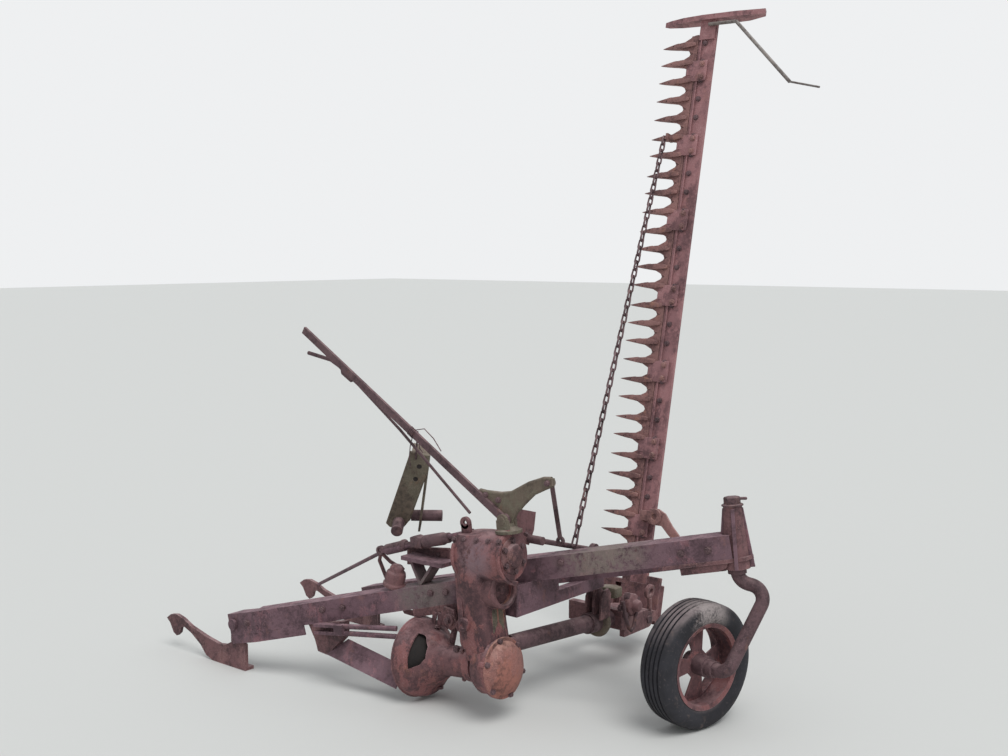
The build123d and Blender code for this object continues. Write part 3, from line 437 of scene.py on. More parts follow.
def drawRod(points, radius, sides=8, smooth=60):
    # a round rod or wire through some points
    clearChoice()
    curve = bpy.data.curves.new("rodLine", "CURVE")
    curve.dimensions = "3D"
    line = curve.splines.new("POLY")
    line.points.add(len(points) - 1)
    for spot, point in zip(line.points, points):
        spot.co = (*point, 1)
    curve.bevel_depth = radius
    curve.bevel_resolution = max(0, (sides - 4) // 2)
    curve.use_fill_caps = True
    made = bpy.data.objects.new("rod", curve)
    bpy.context.scene.collection.objects.link(made)
    made.select_set(True)
    bpy.context.view_layer.objects.active = made
    bpy.ops.object.convert(target="MESH")
    bpy.ops.object.shade_smooth_by_angle(angle=math.radians(smooth))
    return bpy.context.object


def copied(piece, matrix):
    twin = bpy.data.objects.new(piece.name, piece.data.copy())
    bpy.context.scene.collection.objects.link(twin)
    twin.data.transform(matrix)
    return twin


def joined(pieces):
    clearChoice()
    for piece in pieces:
        piece.select_set(True)
    bpy.context.view_layer.objects.active = pieces[0]
    if len(pieces) > 1:
        bpy.ops.object.join()
    return bpy.context.object


def settle(piece, name, space, body, finishName, replaced=()):
    # bring a finished piece to its place on the machine
    piece.name = name
    piece.data.name = name
    piece.data.transform(space)
    if space.determinant() < 0:
        piece.data.flip_normals()
    coat(piece, finishName)
    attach(piece, body)
    if replaced:
        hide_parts(*replaced)
    return piece


def moved(x, y, z, *turns):
    # a place, then turns of so many degrees about an axis
    place = Matrix.Translation((x, y, z))
    for angle, axis in turns:
        place = place @ Matrix.Rotation(math.radians(angle), 4, axis)
    return place


# hexagon bolt head with its washer, made once for every set and copied to its places

boltShape = {"across": 19.0, "head": 8.5, "washer": 13.0}


def hexBolt(size=1.0):
    across = boltShape["across"] * size
    clearChoice()
    bpy.ops.mesh.primitive_cylinder_add(vertices=6, radius=across * 0.577,
                                        depth=boltShape["head"] * size,
                                        location=(0, 0, boltShape["head"] * size / 2 + 2))
    bpy.ops.object.mode_set(mode="EDIT")
    pickFaces(lambda face: face.normal.z > 0.9)
    bpy.ops.mesh.inset(thickness=across * 0.09)
    bpy.ops.transform.translate(value=(0, 0, 1.2 * size))
    bpy.ops.mesh.inset(thickness=across * 0.2)
    bpy.ops.mesh.extrude_region_move(TRANSFORM_OT_translate={"value": (0, 0, 1.6 * size)})
    head = closeUp(bpy.context.object)
    clearChoice()
    bpy.ops.mesh.primitive_cylinder_add(vertices=12, radius=boltShape["washer"] * size, depth=2.5,
                                        location=(0, 0, 1.25))
    bpy.ops.object.mode_set(mode="EDIT")
    washer = closeUp(bpy.context.object)
    return joined([head, washer])


def boltSet(name, places, space, body, finishName, size=1.0):
    pattern = hexBolt(size)
    copies = [copied(pattern, place) for place in places]
    bpy.data.objects.remove(pattern)
    return settle(joined(copies), name, space, body, finishName)


# the ribbed tyre, over its CAD carcass

tyreShape = {"outer": 207.0, "half": 62.0, "bead": 132.0, "groove": 7.0, "steps": 72}


def makeTyre(shape):
    outer, half, bead, groove = shape["outer"], shape["half"], shape["bead"], shape["groove"]
    tread = []
    for edge in (-27.0, -9.0, 9.0, 27.0):
        low = outer - 1.0 - abs(edge) * 0.06
        tread += [(low, edge - 3.5), (low - groove, edge - 2.0), (low - groove, edge + 2.0),
                  (low, edge + 3.5)]
    profile = [
        (bead, 20 - half), (bead + 4, 16 - half), (bead + 10, 10 - half), (bead + 22, 3 - half),
        (bead + 36, -half), (outer - 30, 0.5 - half), (outer - 19, 3 - half), (outer - 9, 9 - half),
        (outer - 4.5, 15 - half), *tread, (outer - 4.5, half - 15), (outer - 9, half - 9),
        (outer - 19, half - 3), (outer - 30, half - 0.5), (bead + 36, half), (bead + 22, half - 3),
        (bead + 10, half - 10), (bead + 4, half - 16), (bead, half - 20), (bead, half - 34),
        (bead + 34, half - 16), (outer - 26, half - 18), (outer - 20, 0), (outer - 26, 18 - half),
        (bead + 34, 16 - half), (bead, 34 - half), (bead, 20 - half),
    ]
    piece = turnProfile(profile, shape["steps"])
    settle(piece, "ribbedTyre", wheelSpace, "wheel", "dustyRubber", ["tyre"])


makeTyre(tyreShape)
print("tyre done")

# knife guards: base with wings, finger, nose, lip and ledger plate

guardShape = {
    "first": 224.6, "pitch": 76.2, "count": 28, "lean": 1.2,
    "wings": [(16, -26), (26, -37.4), (84, -37.4), (95, -29), (104, -14), (104, 14), (95, 29),
              (84, 37.4), (26, 37.4), (16, 26)],
    "finger": [(80, 0, 13, -20, -0.5), (96, 0, 14, -20, -0.5), (136, 0, 14.5, -20, -0.5),
               (166, 0, 11, -16.5, -0.5)],
    "nose": [(164, 0, 11, -16.5, 11.5), (180, 0, 9.6, -15.5, 9.5), (215, 0, 5.4, -12, 2.5),
             (236, 0, 2.4, -8.5, -1.5), (245, 0, 0.9, -5, -3)],
    "lip": [(84, 0, 5.5, 4.6, 9), (96, 0, 8.5, 4.6, 14), (132, 0, 11.5, 4.6, 14),
            (165, 0, 9.6, 4.6, 11.6)],
    "ledger": [(82, -16), (150, -7), (150, 7), (82, 16)],
}


def guardPlaces(shape):
    return [shape["first"] + index * shape["pitch"] for index in range(shape["count"])]


def copiesAlong(pattern, places):
    # copies of a piece at some distances out along the cutter bar
    copies = [copied(pattern, moved(0, -along, 0)) for along in places]
    bpy.data.objects.remove(pattern)
    return joined(copies)


def makeGuards(shape):
    base = drawPlate(shape["wings"], -21, -12, 1.5)
    finger = drawOut(shape["finger"], 1.0)
    nose = drawOut(shape["nose"], 1.0)
    lip = drawOut(shape["lip"], 1.2)
    ledger = drawPlate(shape["ledger"], -2.2, -0.4)
    pattern = joined([base, finger, nose, lip, ledger])
    drift = random.Random(7)
    copies = []
    for along in guardPlaces(shape):
        lean = Matrix.Rotation(math.radians(drift.uniform(-shape["lean"], shape["lean"])), 4, "Z")
        copies.append(copied(pattern, moved(0, -along, 0) @ lean))
    bpy.data.objects.remove(pattern)
    settle(joined(copies), "forgedGuards", barSpace, "cutter_bar", "guardRust",
           ["knife_guards"])


makeGuards(guardShape)

# what lies on the guards: rusted knife sections, hold-down clips, the wear edge, dark discs of painted
# shade in the dimples, and bolts

knifeShape = {
    "section": [(50, -38.1), (112, -38.1), (118, -26), (134, -14), (138, 0), (134, 14), (118, 26),
                (112, 38.1), (50, 38.1)],
    "clip": [(20, 0, 42, 4.5, 10), (70, 0, 42, 4.5, 12), (92, 0, 40, 2, 9), (118, 0, 38, -2.5, 3)],
    "clipAfter": (1, 5, 9, 13, 17, 21, 25), "clipBolt": 26,
    "wearLow": 3, "wearHigh": 8, "wearHalf": 1070, "wearMiddle": 1250,
    "dimple": [(0, 0.5), (2.4, 0.5), (2.4, -1), (0, -1)],
}


def makeKnifeLine(guards, shape):
    places = guardPlaces(guards)
    # each dimple is a small dark disc that paints the shade in its hollow
    dimple = turnProfile(shape["dimple"], 10)
    dimple.data.transform(moved(190, 0, 7.6) @ Matrix.Rotation(0.2, 4, "Y"))
    settle(copiesAlong(dimple, places), "guardDimpleShades", barSpace, "cutter_bar", "paintedShade")
    section = drawPlate(shape["section"], -11.5, -3, 1.0)
    settle(copiesAlong(section, places), "rustedSections", barSpace, "cutter_bar", "guardRust")
    spots = [guards["first"] + (index + 0.5) * guards["pitch"] for index in shape["clipAfter"]]
    clip = drawOut(shape["clip"], 1.5)
    settle(copiesAlong(clip, spots), "forgedClips", barSpace, "cutter_bar", "barRed")
    low, high = shape["wearLow"], shape["wearHigh"]
    ridge = drawOut([(58, 0, 5, low, high), (64, 0, 5, low, high)], 0.8)
    ridge.data.transform(Matrix.Diagonal((1, shape["wearHalf"] / 5, 1, 1)))
    ridge.data.transform(moved(0, -shape["wearMiddle"], 0))
    settle(ridge, "wearEdge", barSpace, "cutter_bar", "barRed")
    clipBolts = [moved(40, side * shape["clipBolt"] - along, 11) for along in spots for side in (-1, 1)]
    boltSet("clipBolts", clipBolts, barSpace, "cutter_bar", "guardRust", 0.9)
    guardBolts = [moved(44, -along, 0.3) for along in places]
    boltSet("guardBolts", guardBolts, barSpace, "cutter_bar", "darkSteel", 0.85)


makeKnifeLine(guardShape, knifeShape)
print("guards done")

# holding chain: twisted oval links from the loop at the bar down to the open end

chainShape = {
    "wire": 3.9, "half": 9.0, "links": 52,
    "hangs": (160, 11.5 - 224.6 - 22 * 76.2, 34), "opens": (-1126, -491, 556),
}


def makeChain(shape):
    eye = barSpace @ Vector(shape["hangs"])
    end = shopSpace @ Vector(shape["opens"])
    way = (end - eye).normalized()
    start = eye - way * 0.0104
    pitch = (end - start).length / shape["links"] * 1000
    halfInner = pitch / 2 + 0.2
    clearChoice()
    bpy.ops.mesh.primitive_torus_add(major_segments=12, minor_segments=6, major_radius=shape["half"],
                                     minor_radius=shape["wire"])
    bpy.ops.object.mode_set(mode="EDIT")
    reach = halfInner + shape["wire"] - shape["half"]
    pickFaces(lambda face: face.center.x > 0.5)
    bpy.ops.transform.translate(value=(reach, 0, 0))
    pickFaces(lambda face: face.center.x < -0.5)
    bpy.ops.transform.translate(value=(-reach, 0, 0))
    pattern = closeUp(bpy.context.object, smooth=60)
    square = Vector((1, 0, 0)).cross(way).cross(way).normalized()
    side = square.cross(way)
    turned = Matrix((way, side, square)).transposed().to_4x4()
    chainSpace = Matrix.Translation(start) @ turned @ Matrix.Scale(0.001, 4)
    copies = []
    for index in range(shape["links"]):
        place = moved(halfInner + 6.0 + index * pitch, 0, 0)
        copies.append(copied(pattern, place @ Matrix.Rotation(math.radians(90 * (index % 2)), 4, "X")))
    bpy.data.objects.remove(pattern)
    settle(joined(copies), "ovalChain", chainSpace, "hold_chain", "darkSteel",
           ["hold_chain"])


makeChain(chainShape)
print("chain done")

# gear case: cast body, curved lid with its bolts, end caps, ribs and the bearing cover

caseDetail = {
    "middle": (63, 0), "deep": 55.0, "wide": 66.0, "round": 0.65, "bearing": 258.0,
    "levels": [(30, 0.9, 0.9), (90, 1, 1), (150, 0.97, 0.92), (210, 0.97, 0.92), (270, 1.0, 1.02),
               (330, 1.03, 1.12), (376, 1.04, 1.15), (420, 1.0, 1.08), (444, 0.86, 0.86)],
    "chamber": [(0, -80), (74, -80), (80, -75), (80, 62), (74, 80), (0, 84)],
    "sump": [(0, 0), (97, 0), (100, 3), (100, 13), (97, 16), (90, 17), (90, 62), (82, 74), (64, 79),
             (0, 80)],
    "bearingRing": [(46, -24), (57, -24), (60, -21), (62, 10), (68, 40), (46, 40), (46, -24)],
    "neck": [(20, 100), (62, 100), (60, 112), (59, 132), (20, 132), (20, 100)],
    "rise": 372.0, "upper": 80.0, "lidThick": 8.0, "lidSpread": 104.0,
    "upperCap": [(0, 20), (24, 19), (36, 14), (42, 4), (56, 3), (60, 0), (60, -6), (0, -6)],
    "lowerCap": [(0, 44), (34, 42), (62, 34), (80, 22), (88, 8), (99, 6), (101, 0), (0, 0)],
    "spine": [(96, 70), (112, 66), (119, 88), (119, 330), (112, 340), (98, 330)],
    "panel": [(-30, 84), (30, 84), (26, 196), (-26, 196)],
    "boss": [(0, 0), (24, 0), (22, 10), (12, 12), (9, 7), (0, 7)],
    "ear": [(0, 0, 12, -11, 11), (14, 0, 11, -11, 9), (24, 0, 7, -9, 7)],
    "collar": [(47, 0), (61, 0), (63, 6), (60, 14), (50, 15), (47, 10), (47, 0)],
    "hub": [(0, 12), (12, 12), (16, 6), (30, 4), (36, 0), (46, 0), (46, -8), (0, -8)],
    "webFillet": [(12, 296), (-50, 296), (-36, 290), (-8, 272), (6, 244), (12, 200)],
}
alongShaft = Matrix.Rotation(math.radians(90), 4, "Y")
backAlongShaft = Matrix.Rotation(math.radians(-90), 4, "Y")


def aroundShaft(x, radius, angle, rise, way=-1):
    # a bolt's place on a circle about a shaft line, its head towards the rear or the front
    turn = math.radians(angle)
    spot = moved(x, radius * math.cos(turn), rise + radius * math.sin(turn))
    return spot @ (backAlongShaft if way < 0 else alongShaft)


def standOut(along, radius, turn, rise=0):
    # a bolt's place on a round surface about a shaft line, its head straight outwards
    spot = moved(along, radius * math.cos(turn), rise + radius * math.sin(turn))
    return spot @ Matrix.Rotation(turn - math.radians(90), 4, "X")


def makeCaseBody(detail):
    outline = []
    for step in range(24):
        turn = math.radians(15 * step)
        across, over = math.cos(turn), math.sin(turn)
        forward = detail["deep"] * math.copysign(abs(across) ** detail["round"], across)
        sideways = detail["wide"] * math.copysign(abs(over) ** detail["round"], over)
        outline.append((detail["middle"][0] + forward, sideways))
    column = drawColumn(outline, detail["middle"], detail["levels"])
    parts = [column]
    for name, rise in (("chamber", detail["rise"]), ("sump", 0), ("bearingRing", detail["bearing"]),
                       ("neck", 0)):
        part = turnProfile(detail[name], 48)
        part.data.transform(moved(0, 0, rise) @ alongShaft)
        parts.append(part)
    fillet = drawPlate(detail["webFillet"], -30, 30, 6.0)
    fillet.data.transform(Matrix.Rotation(math.radians(90), 4, "X"))
    parts.append(fillet)
    settle(joined(parts), "castCase", caseSpace, "frame", "caseRed", ["gear_case"])


makeCaseBody(caseDetail)


def makeLid(detail):
    upper, thick, rise = detail["upper"], detail["lidThick"], detail["rise"]
    strip = [(upper + 0.5, -98), (upper + thick, -98), (upper + thick, 108), (upper + 0.5, 108)]
    lid = turnPart(strip, 20, detail["lidSpread"], 1.2)
    lid.data.transform(Matrix.Rotation(math.radians(180 - detail["lidSpread"] / 2), 4, "Z"))
    lid.data.transform(moved(0, 0, rise) @ alongShaft)
    rims = []
    for place in (-98.0, 96.0):
        section = [(upper, place), (upper + 13, place), (upper + 13, place + 11), (upper, place + 11)]
        rim = turnPart(section, 20, detail["lidSpread"] + 14, 1.2)
        rim.data.transform(Matrix.Rotation(math.radians(173 - detail["lidSpread"] / 2), 4, "Z"))
        rim.data.transform(moved(0, 0, rise) @ alongShaft)
        rims.append(rim)
    eye = ringBoss(21, 8.5, -6, 6, 1.5)
    eye.data.transform(moved(90, 23, rise + upper + 25, (90, "X")))
    stem = drawPlate([(-21, -6), (21, -6), (17, 6), (-17, 6)], -16, 14, 1.0)
    stem.data.transform(moved(90, 23, rise + upper + 8))
    seats = [drawPlate([(-26, -6), (26, -6), (26, 6), (-26, 6)], -14, 0.4, 1.0) for side in range(2)]
    seats[0].data.transform(moved(-68.6, 23, rise + upper + 8))
    seats[1].data.transform(moved(-68.6, -27, rise + upper + 8))
    flange = []
    for side in (-1, 1):
        for along in (-86, -40, 10, 60, 104):
            turn = math.radians(90 - side * 50)
            flange.append(standOut(along, upper + 8, turn, rise))
    boltSet("lidBolts", flange, caseSpace, "frame", "darkSteel", 0.75)
    settle(joined([lid, *rims, eye, stem, *seats]), "curvedLid", caseSpace, "frame",
           "caseRed", ["case_lid"])


makeLid(caseDetail)


def makeCaps(detail):
    rise = detail["rise"]
    upperCap = turnProfile(detail["upperCap"], 32, 1.0)
    upperCap.data.transform(moved(-80, 0, rise) @ backAlongShaft)
    settle(upperCap, "upperEndCap", caseSpace, "frame", "castingRust", ["upper_cap"])
    lowerCap = turnProfile(detail["lowerCap"], 40, 1.0)
    lowerCap.data.transform(backAlongShaft)
    settle(lowerCap, "lowerEndCap", caseSpace, "frame", "capOrange", ["lower_cap"])
    bolts = [aroundShaft(-6.5, 92, angle, 0) for angle in (20, 80, 140, 200, 260, 320)]
    bolts += [aroundShaft(-83, 50, angle, rise) for angle in (30, 90, 150, 210, 270, 330)]
    boltSet("capBolts", bolts, caseSpace, "frame", "darkSteel", 0.8)


makeCaps(caseDetail)


def makeCaseTrim(detail):
    ears = []
    for angle in (135, 200, 20):
        ear = drawOut(detail["ear"], 2.0)
        turn = math.radians(angle)
        spot = moved(8, 86 * math.cos(turn), 86 * math.sin(turn))
        ear.data.transform(spot @ Matrix.Rotation(turn, 4, "X") @ moved(0, 0, 0, (90, "Z")))
        ears.append(ear)
    spine = drawPlate(detail["spine"], -5, 5, 2.0)
    spine.data.transform(moved(0, 62, 0, (90, "X")))
    panel = drawPlate(detail["panel"], 0, 4, 1.0)
    panel.data.transform(moved(7.9, 0, 0, (-90, "Y"), (-90, "Z")))
    boss = turnProfile(detail["boss"], 20, 1.0)
    boss.data.transform(moved(92, 66, 150, (-90, "X")))
    settle(joined([*ears, spine, boss]), "caseRibs", caseSpace, "frame", "caseRed")
    settle(panel, "casePanel", caseSpace, "frame", "oldGreen")
    collar = turnProfile(detail["collar"], 32, 0.8)
    collar.data.transform(moved(-23, 0, detail["bearing"]) @ backAlongShaft)
    hub = turnProfile(detail["hub"], 24, 0.8)
    hub.data.transform(moved(-14, 0, detail["bearing"]) @ backAlongShaft)
    settle(joined([collar, hub]), "bearingCover", caseSpace, "frame", "castingRust",
           ["bearing_core"])


makeCaseTrim(caseDetail)

# drive shaft bell: a dark inner shell of painted shade behind the mouth, rolled lip and bolts

bellDetail = {
    "mouth": 381.0,
    "web": [(24, -110), (62, -84), (126, -34), (128.5, -29), (128.5, -26), (124, -29), (60, -79),
            (24, -105), (24, -110)],
    "lip": [(129.5, -3), (135.5, -3), (138, 0), (135.5, 3), (129.5, 3), (129.5, -3)],
}


def makeBell(detail):
    # the dark inner shell paints the shade inside the bell
    web = turnProfile(detail["web"], 48)
    lip = turnProfile(detail["lip"], 56)
    for piece in (web, lip):
        piece.data.transform(moved(detail["mouth"] - 3, 0, 0) @ alongShaft)
    settle(web, "bellShadeShell", caseSpace, "frame", "paintedShade")
    settle(lip, "bellLip", caseSpace, "frame", "caseRed")
    places = []
    for along, angle in ((300, 262), (300, 100), (150, 60), (150, 120), (150, 240), (150, 300)):
        turn = math.radians(angle)
        radius = 52 if along < 200 else 103
        places.append(standOut(along, radius, turn))
    boltSet("bellBolts", places, caseSpace, "frame", "castingRust", 0.7)


makeBell(bellDetail)
print("gear case done")

# clamp between the bell's tunnel and the near beam

clampDetail = {
    "plate": [(-20, -40), (26, -44), (40, -20), (34, 22), (-8, 34), (-34, 16)], "boss": 21.0,
    "spiral": [(0, 16), (7, 16), (9, 9), (14, 9), (17, 14), (21, 14), (24, 6), (24, -20), (0, -20)],
    "rib": [(0, 0, 4, -9, 9), (44, 0, 4, -8, 8), (60, 0, 3, -6, 6)],
    "flag": [(0, 0), (-96, 8), (-70, -16), (-12, -14)],
    "plateAt": (-786, -246, 284), "bossAt": (-790, -242, 288), "spiralAt": (-872, -214, 290),
    "flagAt": (-560, -246, 282), "ribsAt": [((-716, -248, 300), 78), ((-738, -248, 300), 84)],
}


def makeClamp(detail):
    faceWay = Matrix.Rotation(math.radians(-90), 4, "X")
    plate = drawPlate(detail["plate"], -6, 6, 2.0)
    plate.data.transform(moved(*detail["plateAt"]) @ faceWay)
    boss = ringBoss(detail["boss"], 9, 0, 13, 1.5)
    boss.data.transform(moved(*detail["bossAt"]) @ faceWay)
    spiral = turnProfile(detail["spiral"], 24, 1.0)
    spiral.data.transform(moved(*detail["spiralAt"]) @ faceWay)
    ribs = [drawOut(detail["rib"], 1.5) for place in detail["ribsAt"]]
    for rib, (place, lean) in zip(ribs, detail["ribsAt"]):
        rib.data.transform(moved(*place, (lean, "Y")))
    flag = drawPlate(detail["flag"], -4, 4, 1.0)
    flag.data.transform(moved(*detail["flagAt"]) @ faceWay.inverted())
    settle(joined([plate, boss, spiral, *ribs, flag]), "tunnelClamp", shopSpace, "frame",
           "castingRust")
    boltSet("clampBolts", [moved(-790, -230, 288) @ faceWay,
                           moved(-690, -262, 337) @ Matrix.Rotation(0.2, 4, "Y"),
                           moved(-862, -196, 214) @ faceWay],
            shopSpace, "frame", "darkSteel", 0.95)


makeClamp(clampDetail)

# control linkage over the near beam: sleeves, box with a rolled edge, fork and round casting

linkageDetail = {
    "rail": [(-441, -262, 470), (-560, -262, 508), (-770, -262, 566), (-905, -262, 602)],
    "sleeve": [(10, 0), (15, 0), (16.5, 5), (16.5, 78), (14, 84), (19, 88), (19, 100), (10, 104)],
    "drum": [(10, 0), (20, 0), (22, 5), (22, 92), (18, 97), (18, 118), (10, 120)],
    "block": [(-26, -18), (24, -20), (28, 14), (8, 22), (-24, 18)],
    "tray": [(-538, 428), (-538, 484), (-546, 490), (-560, 488), (-640, 500), (-742, 512),
             (-742, 466), (-640, 440)],
    "rolled": [(-540, -292, 488), (-640, -292, 502), (-744, -292, 515)],
    "farTray": [(-548, 440), (-548, 470), (-738, 496), (-738, 476), (-640, 452)],
    "horn": [(0, 76), (18, 76), (24, 70), (26, 58), (33, 52), (36, 40), (35, 16), (40, 10), (40, 0),
             (0, 0)],
}


def makeLinkage(detail):
    rail = drawRod(detail["rail"], 9, 10)
    knuckle = ringBoss(17, 8, -9, 9, 2.0)
    knuckle.data.transform(moved(-441, -262, 470, (90, "X")))
    slant = Matrix.Rotation(math.radians(-72), 4, "Y")
    sleeve = turnProfile(detail["sleeve"], 20, 1.0)
    sleeve.data.transform(moved(-468, -262, 479) @ slant)
    drum = turnProfile(detail["drum"], 20, 1.0)
    drum.data.transform(moved(-655, -262, 534, (-75, "Y")))
    block = drawPlate(detail["block"], -19, 19, 3.0)
    block.data.transform(moved(-628, -262, 530, (90, "X")))
    settle(joined([rail, knuckle, sleeve, drum, block]), "controlRail", shopSpace, "frame",
           "darkSteel")
    tray = drawPlate(detail["tray"], 0, 6, 2.0)
    tray.data.transform(moved(0, -294, 0, (90, "X")))
    rolled = drawRod(detail["rolled"], 5, 8)
    far = drawPlate(detail["farTray"], 0, 6, 1.5)
    far.data.transform(moved(0, -350, 0, (90, "X")))
    bolts = [moved(x, -300, z, (-90, "X")) for x, z in ((-580, 462), (-690, 486))]
    boltSet("trayBolts", bolts, shopSpace, "frame", "darkSteel", 0.8)
    settle(joined([tray, rolled, far]), "controlTray", shopSpace, "frame", "castingRust")
    fork = [drawRod([(-441, -262, 462), (-425, -270, 430), (-432, -292, 372), (-440, -296, 350)], 7, 8),
            drawRod([(-441, -262, 462), (-470, -280, 430), (-520, -296, 405)], 7, 8)]
    settle(joined(fork), "controlFork", shopSpace, "frame", "castingRust")
    horn = turnProfile(detail["horn"], 28, 1.0)
    coneLow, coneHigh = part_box("clutch_cone")
    foot = shopSpace.inverted() @ Vector(((coneLow.x + coneHigh.x) / 2, (coneLow.y + coneHigh.y) / 2,
                                          coneLow.z))
    horn.data.transform(moved(foot.x, foot.y, foot.z + 1, (-14, "Y")))
    settle(horn, "roundHorn", shopSpace, "frame", "castingRust", ["clutch_cone"])


makeLinkage(linkageDetail)
print("linkage done")

# lever end: crank rims, wire round the lever and its loose ends, dark discs of painted shade in the yoke
# holes, pillar under the crank

leverDetail = {
    "pivot": (-1056.95, -221.3, 674.98), "rim": 9.0,
    "top": [(114, 78), (84, 76), (24, 78), (-20, 86), (-93, 126), (-149, 147), (-178, 150)],
    "low": [(-180, 134), (-157, 124), (-108, 100), (-65, 60), (-43, 36)],
    "front": [(52, 50), (84, 65), (114, 65)],
    "wireEnds": [
        [(-650, -222, 914), (-634, -226, 900), (-620, -230, 868), (-614, -231, 830), (-617, -233, 796)],
        [(-655, -222, 908), (-655, -236, 884), (-652, -242, 862), (-664, -246, 846)],
        [(-648, -222, 926), (-690, -226, 934), (-732, -226, 905), (-768, -224, 866)],
    ],
    "wireMiddle": (-650, -208, 920.5), "wireTurns": (-9, -3, 4, 11), "leverLean": 58.9,
    "holes": [(-2, -54), (-17, -104)], "bolts": [(84, 8, 70), (30, 8, 60), (-168, 8, 138)],
    "yokeHole": [(0, 0.4), (6.5, 0.4), (8.5, 1.2), (8.5, -0.5), (0, -0.5)],
    "yokeEdge": [(-32, 0, -4), (29, -15, -4), (25, -66, -4), (-50, -274, -4)],
    "pillar": [(0, 30), (20, 30), (24, 12), (34, 4), (44, 0), (44, -10), (0, -10)],
}


def makeLever(detail):
    x, y, z = detail["pivot"]
    rims = []
    for name in ("top", "low", "front"):
        rims.append(drawRod([(x + across, y, z + up) for across, up in detail[name]], detail["rim"], 10))
    settle(joined(rims), "crankRims", shopSpace, "hand_lever", "oldGreen")
    turns = []
    around = moved(*detail["wireMiddle"], (detail["leverLean"], "Y"))
    for shift in detail["wireTurns"]:
        clearChoice()
        bpy.ops.mesh.primitive_torus_add(major_segments=20, minor_segments=6, major_radius=15.5,
                                         minor_radius=2.0)
        bpy.ops.object.mode_set(mode="EDIT")
        bpy.ops.transform.resize(value=(1, 0.62, 1))
        loop = closeUp(bpy.context.object, smooth=60)
        loop.data.transform(around @ moved(0, 0, shift))
        turns.append(loop)
    turns += [drawRod(points, 1.8, 6) for points in detail["wireEnds"]]
    settle(joined(turns), "leverWire", shopSpace, "hand_lever", "darkSteel")
    # the yoke holes are dark discs that paint the shade inside them
    holes = []
    for across, up in detail["holes"]:
        hole = turnProfile(detail["yokeHole"], 16)
        hole.data.transform(moved(across, up, 0))
        holes.append(hole)
    settle(joined(holes), "yokeHoleShades", yokeSpace, "hanging_yoke", "paintedShade")
    edge = drawRod(detail["yokeEdge"], 5.5, 8)
    settle(edge, "yokeEdge", yokeSpace, "hanging_yoke", "oldGreen")
    pillar = turnProfile(detail["pillar"], 28, 1.0)
    pillar.data.transform(moved(-68.6, -4, 456))
    settle(pillar, "leverPillar", caseSpace, "frame", "oldGreen")
    bolts = [moved(x + across, y + out, z + up, (-90, "X")) for across, out, up in detail["bolts"]]
    boltSet("leverBolts", bolts, shopSpace, "hand_lever", "darkSteel", 0.8)


makeLever(leverDetail)
print("lever done")

# caster post: corner webs, washer, cap nut and its short handle

postDetail = {
    "web": [(29, 194), (42, 2), (58, 2), (33, 194)],
    "washer": [(0, 200.5), (35, 200.5), (35, 205), (31, 207), (0, 207)],
    "handle": [(0, 0, 217), (-14, -34, 219), (-20, -56, 216)], "nutMiddle": 217, "nut": 27,
}
postSpace = shopSpace @ moved(-1645, -662, 524) @ Matrix.Rotation(framePitch, 4, "Y")


def makePost(detail):
    webs = []
    for angle in (28, 118, 208, 298):
        web = drawPlate(detail["web"], -6, 6, 2.5)
        web.data.transform(moved(0, 0, 0, (angle, "Z"), (90, "X")))
        webs.append(web)
    settle(joined(webs), "postWebs", postSpace, "frame", "beamRust")
    clearChoice()
    bpy.ops.mesh.primitive_cylinder_add(vertices=6, radius=detail["nut"], depth=20,
                                        location=(0, 0, detail["nutMiddle"]))
    bpy.ops.object.mode_set(mode="EDIT")
    pickFaces(lambda face: face.normal.z > 0.9)
    bpy.ops.mesh.inset(thickness=3)
    bpy.ops.transform.translate(value=(0, 0, 3))
    nut = closeUp(bpy.context.object)
    washer = turnProfile(detail["washer"], 24, 0.6)
    handle = drawRod(detail["handle"], 5, 8)
    settle(joined([nut, washer, handle]), "postCapNut", postSpace, "frame", "darkSteel",
           ["post_cap"])


makePost(postDetail)

# seat under the near beam's rear end, and bolts along its upright leg with their heads outwards

beamDetail = {
    "seat": [(58, 530), (66, 494), (185, 517), (212, 532), (215, 561)],
    "seatStart": (-1440, -533, 0), "along": (-0.930, -0.367, 0), "outward": (-0.367, 0.930, 0),
    "bend": -60, "knee": -780, "kneeEnd": -925,
    "bolts": [(-30, 38), (-318, 30), (-392, 34), (-700, 30), (-752, 34), (-1500, 40), (-1580, 40),
              (-1130, 24)],
}


def makeBeamFittings(detail):
    outward = Vector(detail["outward"])
    places = []
    for x, below in detail["bolts"]:
        y = 12 + min(0, x - detail["bend"]) / -1580 * -624
        top = 200 + (85 - x) / 1725 * 428
        if x <= detail["knee"]:
            top = 490 + (detail["kneeEnd"] - x) / 715 * 148
        way = Vector((0, 1, 0)) if x > detail["bend"] else outward
        spot = moved(x, y, top - below)
        places.append(spot @ way.to_track_quat("Z", "Y").to_matrix().to_4x4())
    seat = drawPlate(detail["seat"], -16, -3, 2.0)
    seatSpace = spaceFrom(detail["seatStart"], detail["along"], outward)
    settle(seat, "beamSeat", seatSpace, "frame", "castingRust")
    boltSet("beamBolts", places, shopSpace, "frame", "darkSteel", 0.95)


makeBeamFittings(beamDetail)

# inner end of the bar: ribs and casting over the drag tube, loop rod, eye bolt and pin heads

